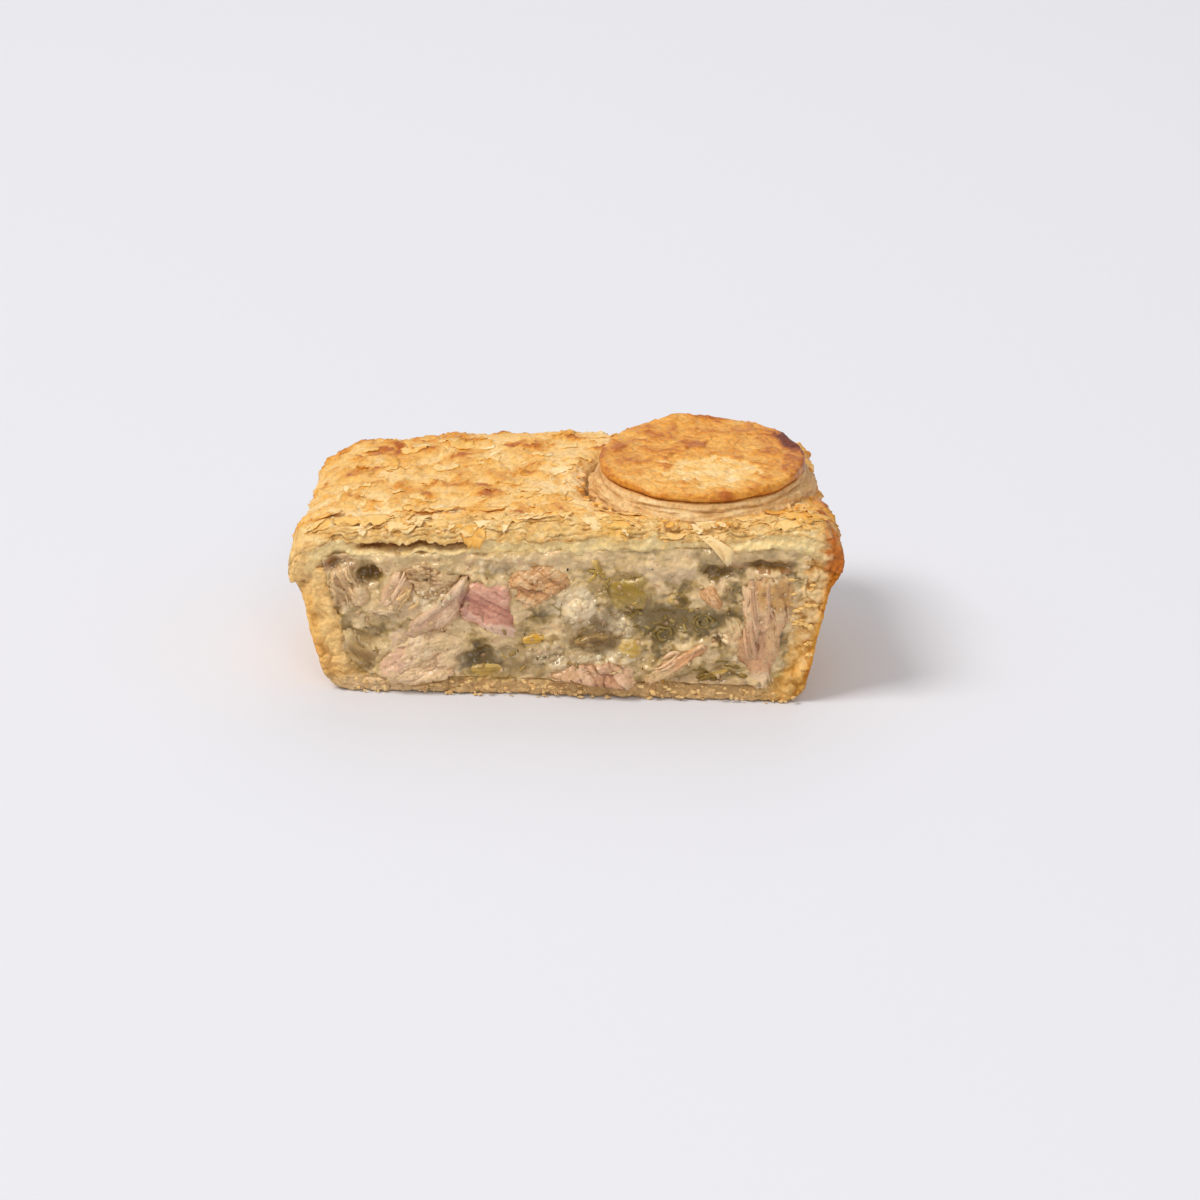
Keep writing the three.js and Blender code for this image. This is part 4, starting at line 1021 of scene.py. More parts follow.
# Hollows and swellings of the sauce at the cut: middle x, z, size x, z, and how far in, in mm.
SAUCE_FORMS = (
    (-44.7, 28.4, 2.4, 2.0, 3.0),
    (-51.4, 30.6, 2.6, 1.6, 1.6),
    (-30.0, 35.0, 12.0, 0.7, 2.5),
    (-23.0, 28.4, 1.3, 1.0, 2.0),
    (35.0, 31.0, 2.6, 1.3, 1.8),
    (44.5, 33.0, 5.0, 0.9, 1.4),
    (23.0, 18.6, 7.0, 4.0, 1.0),
    (-20.0, 9.6, 3.0, 2.2, 1.8),
    (7.0, 13.0, 4.5, 1.5, 0.9),
    (34.5, 15.0, 1.6, 1.2, 1.8),
    (-52.0, 18.0, 1.0, 4.0, 1.6),
    (52.0, 14.0, 1.0, 5.0, 1.6),
    (-42.0, 33.0, 4.5, 1.3, -1.4),
    (-31.0, 33.8, 5.0, 0.9, -1.2),
    (-12.0, 33.8, 8.0, 1.4, -1.2),
    (3.6, 21.6, 4.0, 3.2, -1.8),
    (13.0, 17.8, 2.4, 1.8, -0.9),
    (-38.0, 21.0, 8.0, 2.0, -0.9),
    (33.4, 3.8, 10.0, 2.0, -1.0),
    (22.0, 31.0, 8.0, 1.8, -0.9),
)
# Tones of the sauce: middle x, z, size x, z, screen colour, how much, and how wet. Some are painted shade in
# its hollows.
SAUCE_TONES_AND_SHADE = (
    (-6.0, 8.5, 13.0, 4.0, (170, 138, 86), 0.75, 0.8),
    (7.0, 16.0, 8.0, 4.0, (166, 134, 84), 0.60, 0.7),
    (-5.0, 32.5, 14.0, 2.2, (226, 194, 148), 0.70, 0.4),
    (22.0, 31.0, 8.0, 2.2, (222, 190, 148), 0.70, 0.5),
    (14.0, 27.0, 6.0, 4.0, (172, 138, 68), 0.80, 0.8),
    (16.0, 22.5, 7.0, 3.0, (180, 148, 86), 0.75, 0.9),
    (23.0, 19.0, 7.5, 4.5, (124, 101, 50), 0.90, 1.0),
    (9.5, 19.0, 4.0, 3.2, (140, 112, 62), 0.85, 0.9),
    (-12.0, 8.0, 5.0, 2.4, (164, 134, 80), 0.80, 0.8),
    (8.0, 13.5, 6.0, 2.0, (146, 112, 56), 0.80, 0.9),
    (-47.5, 10.0, 4.5, 5.5, (170, 132, 74), 0.70, 0.8),
    (-20.2, 8.4, 5.2, 3.6, (94, 72, 28), 0.95, 1.0),
    (-7.0, 13.0, 6.0, 2.0, (204, 162, 92), 0.50, 0.6),
    (-18.0, 4.5, 6.5, 2.0, (194, 156, 84), 0.60, 0.6),
    (-36.0, 12.5, 4.0, 3.0, (226, 188, 160), 0.60, 0.6),
    (-38.0, 21.0, 8.0, 2.2, (216, 184, 140), 0.60, 0.5),
    # Painted shade in the hole at the left.
    (-44.7, 28.4, 2.8, 2.2, (130, 94, 54), 0.80, 0.4),
    (-42.0, 33.0, 5.0, 1.5, (240, 208, 154), 0.90, 0.3),
    (-31.0, 33.8, 5.5, 1.0, (240, 206, 152), 0.90, 0.3),
    # Painted shade in the hollows at the top left, under the lid's lip and at the top right.
    (-51.4, 30.8, 4.0, 2.2, (150, 82, 10), 0.95, 0.2),
    (-30.0, 35.2, 13.0, 0.8, (180, 120, 46), 0.90, 0.2),
    (44.5, 33.0, 7.0, 1.3, (156, 102, 52), 0.90, 0.3),
    (35.0, 31.0, 3.5, 1.6, (132, 96, 54), 0.75, 0.6),
    (33.4, 3.8, 10.0, 2.2, (196, 160, 112), 0.90, 0.6),
    (40.0, 8.5, 6.0, 2.5, (172, 142, 86), 0.60, 0.9),
    (48.6, 6.6, 2.2, 2.2, (208, 174, 86), 0.60, 0.6),
    (31.6, 19.2, 3.6, 2.8, (112, 94, 40), 0.85, 1.0),
    (22.4, 15.6, 3.2, 2.6, (106, 88, 38), 0.85, 1.0),
    (2.8, 22.4, 4.4, 3.8, (242, 214, 170), 0.75, 0.2),
)
# Crumbly white curds: middle x, z, size x, z, and how much.
CURD_PATCHES = (
    (3.6, 21.8, 4.8, 4.0, 0.7),
    (13.0, 17.8, 2.6, 2.0, 0.7),
    (-4.0, 10.0, 6.0, 3.0, 0.7),
    (10.0, 9.6, 5.0, 1.4, 0.7),
    (-30.0, 24.0, 5.0, 2.5, 0.7),
)


def curd_share(x, z):
    """How curdy the sauce is at a place."""
    return 0.15 + 0.30 * noise(x / 9, z / 7, seed=121) + humps(x, z, CURD_PATCHES)


def sauce_front(x, z):
    """How far behind the cut the sauce's face lies, in mm, how far it is curd, and how wet: soft lumps of
    three sizes, curds where it is curdy, hollows, and a rim that climbs on to the pieces of meat."""
    pull_x, pull_z = astray(x, z, 1.5, 6, (122, 123))
    near, following, number = cells(pull_x / 6.0, pull_z / 3.6, seed=124)
    lump = 0.8 * (1 - near * near) + (number - 0.45) * rise(following - near, 0.0, 0.7)
    near, _, small = cells(pull_x / 1.8, pull_z / 1.6, seed=125)
    wet = np.zeros(x.shape)
    for *place, _, share, more in SAUCE_TONES_AND_SHADE:
        wet = np.maximum(wet, more * share * hump(x, z, *place))
    curdy = rise(curd_share(x, z) + 0.4 * (small - 0.5), 0.25, 0.60) * (1 - 0.7 * wet)
    curd = np.sqrt(np.clip(1 - (near / 0.7) ** 2, 0, 1)) * curdy
    fine = 0.42 * noise(x / 2.4, z / 1.6, seed=126) + 0.14 * noise(x / 0.9, z / 0.7, seed=132)
    fine = fine + 0.10 * (np.clip(1 - (near / 0.8) ** 2, 0, 1) - 0.4)
    deep = SAUCE_LEVEL - 1.2 * (lump - 0.55) - 0.40 * curd - fine * (1 - 0.45 * wet)
    form_x = x + 1.3 * noise(x / 2.4, z / 2.4, seed=133)
    form_z = z + 0.9 * noise(x / 2.4, z / 2.4, seed=134)
    deep = deep + humps(form_x, form_z, SAUCE_FORMS)
    cover = cover_at(form_x, form_z)
    return deep - 3.0 * cover * (1 - cover), curd, wet


def sauce_look(x, z):
    """Tint and shine of the sauce at a place of the cut: cream and olive brown stirred together, ragged
    pools of each tone, cream under the lid and round the meat, pale curds, and painted shade in hollows and
    low places, some of it laid as pools of tone."""
    deep, curd, wet = sauce_front(x, z)
    wander_x = x + 2.2 * noise(x / 3, z / 3, seed=129) + 0.9 * noise(x / 1.1, z / 1.1, seed=119)
    wander_z = z + 1.8 * noise(x / 3, z / 3, seed=130) + 0.9 * noise(x / 1.1, z / 1.1, seed=120)
    patch = noise(wander_x / 6, wander_z / 4.5, seed=127)
    patch = patch + 0.5 * noise(wander_x / 2, wander_z / 1.6, seed=128)
    tint = ramp(0.5 + 0.85 * patch, (0.0, (112, 88, 34)), (0.3, (170, 138, 76)), (0.55, (214, 180, 122)),
                (0.8, (242, 212, 160)), (1.0, (224, 184, 132)))
    for *place, colour, share, _ in SAUCE_TONES_AND_SHADE:
        tint = stain(tint, colour, share * rise(hump(wander_x, wander_z, *place), 0.28, 0.46))
    near_lid = z - rim_height(x) + 0.8 * noise(x / 3, z / 3, seed=136)
    open_corner = hump(x, z, -51.4, 30.8, 4.0, 2.4)
    swirl = (1 - np.abs(noise(wander_x / 4.5, wander_z / 2.4, seed=118))) ** 9
    tint = stains(
        tint,
        ((238, 204, 148), 0.55 * rise(near_lid, -2.0, 0.5) * (1 - wet) * (1 - open_corner)),
        ((236, 206, 156), 0.30 * swirl * (1 - wet)),
        ((232, 198, 146), 0.40 * rise(cover_at(wander_x, wander_z), 0.15, 0.55)),
        ((250, 228, 188), 0.70 * curd),
        # Painted shade: darker the further back the sauce lies.
        ((126, 98, 38), 0.52 * rise(deep, 0.5, 1.3)),
        ((116, 76, 24), 0.55 * rise(deep, 1.2, 3.2)),
    )
    return 0.94 * tint, 0.6 + 0.5 * wet + 0.35 * noise(x / 2, z / 2, seed=131)


def make_filling():
    """The sauce as a box fitted into the case: its front is the cut face with lumps, curds and hollows, its
    sides follow the case, and it is closed at the back to one point."""
    places, faces = block(*FILLING_CELLS, "front left right bottom top")
    u, v, w = (places / FILLING_CELLS).T
    guess = (2 * u - 1) * (WALL_TOP_WIDTH / 2 - WALL)
    top = lid_underside(guess, CUT_Y + 0 * u) - GAP + UNDER_LID
    z = mix(FLOOR + GAP, top, w)
    rounding = pulled_in(z, FLOOR + FLOOR_ROUND, FLOOR_ROUND)
    half = wall_half(z) - WALL - rounding + 0.3
    x, y = oblong(u, v, half, wall_back(z) - WALL - rounding, INNER_CORNER)
    front = v == 0
    face = CUT_Y + sauce_front(x, z)[0] + 3.0 * rise(w, 0.965, 1.0)
    y = np.where(front, face, np.maximum(y, CUT_Y + FILLING_SETBACK))
    note_front(x[front], y[front], z[front])
    tint, shine = sauce_look(x, z)
    points = np.column_stack([narrowed(x, y), y, z])
    points, faces = close_with_point(points, faces, np.array(FILLING_END))
    make_piece("filling", points, faces, SAUCE, "sauce", ["creamy_filling"],
               tint=np.vstack([tint, tint[:1]]), gloss=np.append(shine, 0))


# Lumps at the cut.

FRONT_SHARE = 0.64


def smooth_outline(corners, count):
    """A closed line with rounded corners round an outline, as count points evenly along it: each side is
    cut at a quarter and three quarters, three times over."""
    line = np.array(corners, float)
    for _ in range(3):
        following = np.roll(line, -1, axis=0)
        line = np.stack([mix(line, following, 0.25), mix(line, following, 0.75)], axis=1).reshape(-1, 2)
    closed = np.vstack([line, line[:1]])
    walked = np.concatenate([[0], np.cumsum(np.hypot(*np.diff(closed, axis=0).T))])
    steps = np.arange(count) / count * walked[-1]
    return np.interp(steps, walked, closed[:, 0]), np.interp(steps, walked, closed[:, 1])


def lump_skin(corners, rings, around, ragged, seed):
    """A closed skin over an outline at the cut: x and z of each point, its share of the way from the middle
    to the outline, its share of the way round the back, and the triangles. The outline is ragged."""
    share, angle, faces = pod(rings, around)
    line_x, line_z = smooth_outline(corners, around)
    middle_x, middle_z = line_x.mean(), line_z.mean()
    step = np.rint(angle / (2 * np.pi) * around).astype(int) % around
    out = np.minimum(share / FRONT_SHARE, 1)
    behind = np.clip((share - FRONT_SHARE) / (1 - FRONT_SHARE), 0, 1)
    uneven = noise(line_x / 2.6, line_z / 2.6, seed=seed)
    uneven = uneven + 0.7 * noise(line_x / 0.8, line_z / 0.8, seed=seed + 1)
    reach = out * (1 - behind ** 4) * (1 + ragged * uneven[step] * out ** 3)
    x = middle_x + reach * (line_x[step] - middle_x)
    z = middle_z + reach * (line_z[step] - middle_z)
    return x, z, out, behind, faces


def sauced(tint, shine, x, z, out, number, coated):
    """Tint and shine with cream over them, and how much cream: at the edge, where it climbs on to the
    piece, and in ragged patches that cover about that share of it."""
    edge = rise(out + 0.25 * noise(x / 1.8, z / 1.6, number, seed=145), 0.88, 1.05)
    patch = noise(x / 3.4, z / 2.8, number, seed=146) + 0.45 * noise(x / 1.1, z / 1.0, number, seed=147)
    patch = rise(patch, 0.75 - 1.3 * coated, 0.95 - 1.3 * coated)
    share = np.maximum((0.35 + 0.8 * coated) * edge, 0.65 * patch)
    sauce_tint, sauce_shine = sauce_look(x, z)
    sauce_tint = stain(sauce_tint, (230, 196, 146), 0.45 + 0.15 * noise(x, z, number, seed=148))
    return mix(tint, sauce_tint, share[:, None]), mix(shine, sauce_shine, share), share


def lay_lump(kind, name, ending, x, y, z, behind, faces, material, tint, shine):
    """Notes how far out a lump stands where it shows, and makes its piece, which stands for the solid."""
    shown = behind == 0
    note_front(x[shown], y[shown], z[shown])
    points = np.column_stack([x, y, z])
    make_piece(f"{kind}_{name}_{ending}", points, faces, material, kind, [f"{kind}_{name}"],
               tint=tint, gloss=shine)


# Chicken at the cut.

CHICKEN_CELLS = (70, 126)
# How far the meat goes back at its edge, in mm.
MEAT_EDGE = 1.9
# For each piece of chicken: the way its fibres run, in degrees from +X towards +Z, its depth and how far it
# stands out of the cut in mm, how deep its bundles part, how granular it is, how far cream covers it, its
# shaded, main and pale screen colours, and its outline (x, z) in mm.
CHICKEN_PIECES = {
    "shred_left": (-70, 11, 0.5, 0.6, 0.20, 0.36, (162, 120, 74), (220, 180, 130), (246, 218, 174), (
        (-54.0, 26.6), (-52.4, 29.4), (-49.9, 31.0), (-47.9, 30.9), (-47.3, 27.8), (-44.4, 25.9),
        (-43.0, 23.6), (-44.6, 20.9), (-49.0, 20.4), (-53.0, 20.8), (-52.5, 24.0))),
    "strands": (62, 9, 0.8, 0.7, 0.0, 0.22, (184, 134, 94), (234, 194, 152), (250, 224, 186), (
        (-39.4, 29.2), (-37.2, 30.3), (-35.8, 28.2), (-34.0, 26.5), (-34.3, 23.9), (-36.4, 21.6),
        (-39.2, 20.7), (-42.5, 20.6), (-43.0, 22.1), (-40.9, 25.4))),
    "upper_left": (-10, 12, 0.3, 0.4, 0.7, 0.52, (132, 92, 50), (190, 146, 96), (228, 192, 144), (
        (-37.0, 30.5), (-33.7, 31.5), (-32.1, 32.8), (-29.3, 31.2), (-25.7, 30.0), (-23.3, 28.7),
        (-24.5, 26.7), (-27.4, 24.1), (-30.7, 22.5), (-33.9, 23.4), (-34.2, 26.5), (-36.2, 27.7))),
    "fold": (45, 8, 0.7, 0.05, 0.0, 0.40, (184, 138, 104), (214, 172, 136), (234, 200, 164), (
        (-37.0, 14.2), (-34.6, 18.6), (-31.0, 21.0), (-28.0, 23.2), (-25.4, 26.6), (-22.2, 29.6),
        (-21.0, 27.0), (-22.6, 22.4), (-24.2, 18.6), (-27.4, 16.2), (-30.8, 15.2), (-34.2, 13.2))),
    "pink": (-30, 15, 0.5, 0.30, 0.0, 0.16, (178, 112, 92), (218, 156, 128), (244, 198, 170), (
        (-21.6, 28.8), (-18.0, 27.6), (-14.8, 28.0), (-12.0, 26.0), (-11.8, 23.4), (-12.4, 21.4),
        (-10.6, 19.4), (-11.4, 17.4), (-10.1, 15.4), (-11.3, 13.9), (-13.3, 13.4), (-17.0, 15.4),
        (-20.6, 17.1), (-24.8, 18.9), (-24.4, 22.4), (-22.9, 25.9))),
    "brown": (-15, 14, 0.5, 0.2, 0.9, 0.20, (180, 122, 70), (220, 164, 106), (242, 202, 150), (
        (-11.9, 30.8), (-8.3, 32.4), (-3.5, 32.0), (0.1, 30.4), (2.5, 27.9), (0.9, 25.7), (-2.7, 24.4),
        (-5.6, 22.3), (-8.0, 20.9), (-10.0, 21.9), (-11.6, 24.9), (-13.4, 27.5))),
    "lower_left": (30, 14, 0.4, 0.25, 0.60, 0.58, (200, 154, 110), (232, 194, 150), (246, 218, 178), (
        (-43.4, 4.9), (-41.8, 8.8), (-38.6, 11.9), (-34.0, 15.4), (-30.4, 16.4), (-25.9, 16.3),
        (-20.8, 13.1), (-23.0, 10.2), (-24.2, 8.2), (-23.4, 5.3), (-27.8, 3.6), (-31.9, 2.6), (-36.8, 2.2),
        (-40.9, 2.9))),
    "bottom": (-60, 12, 0.4, 0.8, 0.55, 0.15, (150, 94, 60), (204, 152, 112), (234, 194, 156), (
        (-4.6, 5.5), (-1.1, 7.9), (3.5, 8.5), (7.3, 8.1), (11.5, 9.4), (14.7, 7.2), (16.6, 4.3),
        (14.5, 2.8), (10.3, 2.7), (5.6, 3.5), (1.4, 4.4), (-2.8, 4.0))),
    "strip": (35, 7, 0.4, 0.10, 0.0, 0.34, (196, 134, 86), (224, 166, 114), (238, 196, 150), (
        (17.0, 5.0), (20.8, 8.3), (24.9, 10.7), (28.3, 12.4), (31.6, 15.0), (33.9, 14.4), (32.4, 12.1),
        (29.5, 9.7), (25.8, 7.3), (22.9, 5.2), (19.5, 4.0))),
    "right": (-84, 15, 0.6, 0.8, 0.15, 0.28, (160, 106, 62), (216, 168, 120), (246, 214, 170), (
        (39.5, 28.9), (42.5, 31.0), (46.3, 31.4), (50.4, 31.6), (51.9, 28.4), (51.4, 23.4), (50.2, 18.5),
        (48.6, 15.3), (48.3, 11.2), (47.2, 6.1), (46.0, 3.8), (43.5, 4.1), (40.5, 6.8), (37.7, 11.8),
        (39.3, 15.4), (40.4, 20.4), (39.8, 24.9))),
    "nub": (-50, 7, 0.5, 0.4, 0.7, 0.15, (170, 112, 62), (220, 166, 110), (240, 204, 156), (
        (29.6, 25.6), (30.6, 28.0), (33.5, 28.5), (35.0, 25.9), (36.2, 23.9), (35.2, 22.1), (33.1, 22.9))),
}
# Places on the meat with a tone of their own: middle x, z, size x, z, screen colour, and how much.
MEAT_TONES = (
    (-36.2, 24.0, 1.6, 2.6, (238, 190, 118), 0.85),
    (-51.0, 23.0, 3.0, 2.0, (176, 136, 84), 0.60),
    (-40.0, 8.0, 4.0, 4.0, (222, 176, 144), 0.75),
    (-27.0, 12.5, 5.0, 3.0, (238, 206, 156), 0.70),
    (-33.0, 4.4, 7.0, 1.8, (240, 204, 160), 0.70),
    (-15.6, 15.4, 6.0, 2.6, (244, 206, 176), 0.75),
    (-22.6, 23.0, 1.2, 4.0, (152, 96, 84), 0.60),
    (-9.6, 22.6, 2.6, 2.0, (230, 190, 142), 0.80),
    (0.0, 27.0, 2.4, 2.0, (196, 144, 92), 0.60),
    (-0.5, 6.0, 4.0, 2.2, (214, 168, 122), 0.80),
    (21.0, 6.4, 3.4, 2.4, (214, 178, 128), 0.85),
    (47.6, 27.0, 4.4, 5.0, (204, 154, 88), 0.85),
    (41.8, 20.0, 1.8, 9.0, (232, 190, 146), 0.85),
    (44.0, 16.5, 1.4, 6.0, (196, 146, 110), 0.60),
    (47.0, 18.0, 1.6, 4.0, (226, 180, 128), 0.70),
    (44.4, 10.0, 2.6, 2.6, (220, 168, 124), 0.75),
    (44.4, 5.2, 2.8, 2.8, (244, 208, 166), 0.85),
)


def make_chicken(number, name):
    """A lump of torn meat over its outline at the cut: bundles of straight fibres side by side, each with a
    height, a turn and a tone of its own and a groove round it, short as grains where the meat is granular;
    the tone is painted paler where the meat stands higher, and painted shade darkens the grooves; cream lies
    on it in patches, and it goes back at the edge."""
    turn, depth, proud, parting, grainy, coated, shaded, main, pale, corners = CHICKEN_PIECES[name]
    seed = 141 + 7 * number
    x, z, out, behind, faces = lump_skin(corners, *CHICKEN_CELLS, 0.12 + 0.08 * parting, seed)
    lean = math.radians(turn)
    pull_x, pull_z = astray(x, z, 0.5 + 0.5 * grainy, 2.2, (150, 155), number)
    along, across = along_and_across(pull_x, pull_z, lean)
    near, following, own = cells(along / mix(13.0, 2.6, grainy), across / mix(2.4, 1.5, grainy), seed)
    own_turn = lean + math.radians(10 + 45 * grainy) * (2 * own - 1)
    level = (own * 7.31) % 1
    dome = np.clip(1 - near * near * 1.5, 0, 1)
    open_gap = rise(noise(x / 2.6, z / 2.6, number, seed=157), -0.05, 0.45)
    groove = (1 - rise(following - near, 0.0, 0.22)) * open_gap
    fibre_along, fibre_across = along_and_across(x, z, own_turn)
    fibre = noise(fibre_across / 0.95, fibre_along / 8, own * 9, seed + 1)
    fibre = fibre + 0.5 * noise(fibre_across / 0.45, fibre_along / 5, own * 9, seed + 2)
    broad = noise(x / 5.0, z / 4.0, number, seed + 4)
    fine = noise(x / 0.7, z / 0.6, number, seed=151)
    relief = 0.5 * broad + (0.35 + 0.5 * parting) * (level - 0.5) + (0.25 + 0.28 * grainy) * (dome - 0.5)
    relief = relief + 0.15 * (1 - 0.5 * grainy) * fibre - (0.1 + 0.4 * parting) * groove
    relief = relief + (0.08 + 0.14 * grainy) * fine

    # Tone: partly the meat's own, partly painted light and shade, paler where bundles and grains stand
    # higher.
    tone = 0.5 + (0.30 - 0.16 * parting) * fibre + (0.35 + 0.25 * parting) * (level - 0.5)
    tone = tone + 0.30 * broad + 0.35 * grainy * (dome - 0.5) + 0.12 * fine
    tint = ramp(tone, (0.0, shaded), (0.5, main), (1.0, pale))
    wander_x, wander_z = astray(x, z, 0.9, 1.8, (152, 156), number)
    for *place, colour, share in MEAT_TONES:
        reach = rise(hump(wander_x, wander_z, *place), 0.25, 0.55)
        tint = stain(tint, colour, share * reach * (1 - 0.25 * fibre))
    # Painted shade in the grooves between bundles.
    tint = stain(0.96 * tint, shaded, (0.15 + 0.35 * parting) * groove)
    shine = 0.55 + 0.35 * noise(x / 2, z / 2, number, seed=153)
    tint, shine, coat = sauced(tint, shine, x, z, out, number, coated)
    relief = mix(relief, 0.45 * broad + 0.35 + 0.10 * fine, 0.8 * coat)
    overhang = 1.5 * (1 - rise(z, 3.5, 7.0)) * (1 - behind)
    y = CUT_Y - 0.4 - proud - relief * (1 - behind) + MEAT_EDGE * out ** 8
    y = y + (depth - MEAT_EDGE) * rise(behind, 0, 1) - overhang
    lay_lump("chicken", name, "meat", x, y, z, behind, faces, CHICKEN, tint, shine)


# Leek at the cut.

LEEK_CELLS = (44, 84)
# For each leaf: the way its veins run, in degrees, its thickness and how far it stands out of the cut in
# mm, its dark, main and pale screen colours, and its outline (x, z) in mm.
LEEK_LEAVES = {
    "leaf_left": (-50, 1.6, 0.1, (122, 90, 46), (168, 130, 72), (218, 188, 136), (
        (-52.0, 15.1), (-50.0, 15.6), (-47.2, 13.6), (-43.9, 11.5), (-42.2, 8.7), (-42.5, 5.7),
        (-45.4, 5.2), (-48.6, 6.8), (-50.6, 9.8), (-51.6, 12.4))),
    "leaf_green": (-22, 1.5, 0.4, (108, 82, 16), (160, 128, 44), (198, 168, 96), (
        (9.2, 29.2), (12.2, 28.4), (15.4, 29.6), (18.6, 30.3), (18.8, 27.4), (19.9, 25.4), (18.2, 23.6),
        (17.4, 21.2), (14.6, 22.6), (12.4, 20.8), (10.6, 23.0), (9.4, 25.4))),
    "curl": (-16, 1.5, 0.5, (84, 64, 26), (134, 106, 46), (200, 170, 102), (
        (22.6, 24.2), (24.8, 26.6), (27.6, 25.6), (29.0, 23.6), (27.5, 22.0), (24.4, 22.4))),
    "shred_top": (-58, 1.2, 0.4, (140, 108, 36), (186, 150, 64), (218, 186, 118), (
        (5.3, 33.9), (7.5, 34.1), (7.6, 32.6), (9.3, 30.0), (9.2, 28.2), (7.2, 30.6))),
    "yellow": (6, 1.3, 0.0, (168, 120, 26), (208, 158, 52), (228, 188, 98), (
        (-11.2, 13.9), (-7.6, 15.4), (-4.2, 15.3), (-3.6, 13.4), (-7.3, 12.1), (-9.9, 12.4))),
    "yellow_low": (4, 1.3, -0.3, (150, 116, 40), (188, 150, 66), (216, 184, 112), (
        (-23.6, 5.6), (-21.6, 7.2), (-17.9, 7.8), (-14.0, 7.4), (-12.2, 5.9), (-15.5, 4.2), (-20.0, 3.9))),
    "square": (-12, 1.6, 0.6, (198, 156, 66), (204, 166, 80), (222, 196, 140), (
        (11.9, 13.0), (13.6, 15.2), (17.0, 14.9), (17.9, 11.7), (17.0, 9.9), (14.7, 9.4), (12.4, 10.9))),
    "dark_strip": (14, 1.3, 0.2, (92, 66, 28), (134, 100, 48), (178, 142, 82), (
        (0.9, 12.9), (3.9, 15.2), (8.6, 16.0), (10.4, 14.6), (8.2, 12.6), (4.0, 11.8))),
    "sliver": (12, 1.1, 0.4, (104, 80, 26), (148, 116, 42), (192, 158, 86), (
        (29.6, 5.4), (33.0, 7.0), (37.6, 7.9), (36.4, 6.6), (33.4, 5.3))),
}
# Places on the leek with a tone of their own: middle x, z, size x, z, screen colour, and how much.
LEEK_TONES = (
    (-50.4, 13.4, 2.6, 2.4, (220, 192, 138), 0.85),
    (-44.6, 6.8, 2.6, 1.8, (112, 84, 38), 0.75),
    (9.8, 26.0, 0.9, 3.4, (104, 80, 12), 0.85),
    (15.0, 22.6, 4.4, 1.6, (186, 156, 92), 0.75),
    (16.0, 26.4, 3.0, 1.6, (154, 120, 30), 0.70),
)
# For each rolled leaf: its radius in mm, how many turns it makes, and how far it stands out of the cut.
LEEK_ROLLS = {"roll_upper": (2.9, 1.7, 0.5), "roll_lower": (2.5, 1.5, 0.3)}
ROLL_CELLS = (110, 8, 4)
ROLL_LEAF = 1.05
ROLL_DEPTH = 5.0
# How ragged a leaf's outline is, and about what share of a leaf cream covers.
LEAF_RAGGED = 0.22
LEAF_COATED = 0.28


def node_middle(node):
    """Middle of a solid's box, in mm."""
    low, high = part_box(node)
    return (np.array(low) + np.array(high)) / 2 / MM


def make_leek_leaf(number, name):
    """A piece of cooked leaf over its outline at the cut: thin, with faint veins and a soft ripple, wet,
    and sunk into the sauce at its edge."""
    turn, thick, proud, dark, main, pale, corners = LEEK_LEAVES[name]
    seed = 260 + 5 * number
    x, z, out, behind, faces = lump_skin(corners, *LEEK_CELLS, LEAF_RAGGED, seed)
    along, across = along_and_across(x - x.mean(), z - z.mean(), math.radians(turn))
    vein = noise(across / 0.7, along / 12, number, seed + 2)
    ripple = noise(along / 3.5, across / 2.2, number, seed + 3)
    y = CUT_Y - proud - 0.35 * ripple * (1 - behind) - 0.10 * vein * (1 - behind) + 1.3 * out ** 4
    y = y + (thick + 0.6) * rise(behind, 0, 1)
    tone = 0.42 + 0.28 * vein + 0.45 * ripple + 0.35 * rise(out, 0.45, 0.85)
    tint = ramp(tone, (0, dark), (0.45, main), (1, pale))
    for *place, colour, share in LEEK_TONES:
        tint = stain(tint, colour, share * hump(x, z, *place))
    shine = 0.75 + 0.25 * vein
    tint, shine, _ = sauced(tint, shine, x, z, out, 20 + number, LEAF_COATED)
    lay_lump("leek", name, "leaf", x, y, z, behind, faces, LEEK, tint, shine)


def make_leek_roll(number, name):
    """A rolled leaf, seen at its end: a strip wound in a spiral, running into the filling."""
    radius, turns, proud = LEEK_ROLLS[name]
    places, faces = block(*ROLL_CELLS)
    wound, depth, layer = (places / ROLL_CELLS).T
    layer = layer - 0.5
    angle = 2 * np.pi * turns * wound + number
    middle_line = mix(0.75, radius - ROLL_LEAF / 2, wound ** 0.8)
    leaf = ROLL_LEAF * (1 - 0.6 * np.abs(2 * wound - 1) ** 8)
    out = middle_line + layer * leaf
    middle = node_middle("leek_" + name)
    wobble = 1 + 0.34 * noise(np.cos(angle) * 1.2, np.sin(angle) * 1.2, number + wound, seed=170)
    x = middle[0] + 1.15 * out * wobble * np.cos(angle)
    z = middle[2] + 0.9 * out * wobble * np.sin(angle)
    uneven = 0.4 * noise(x / 1.6, z / 1.6, seed=171) + 0.3 * (2 * layer) ** 2
    seat = sauce_front(x, z)[0] - 0.25 + 0.5 * noise(x / 2, z / 2, seed=173)
    y = CUT_Y - 0.2 * proud + mix(seat, ROLL_DEPTH, depth) + uneven * (1 - depth)
    tone = np.abs(2 * layer) + 0.2 * noise(x, z, seed=172)
    tint = ramp(tone, (0.0, (156, 128, 56)), (0.6, (126, 102, 40)), (1.0, (92, 72, 26)))
    tint = mix(tint, sauce_look(x, z)[0], 0.35)
    make_piece("leek_" + name + "_leaf", np.column_stack([x, y, z]), faces, LEEK, "leek", ["leek_" + name],
               tint=tint, gloss=0.8 + 0 * wound)


# Loose slips at the cut.

SLIP_CELLS = (10, 6)
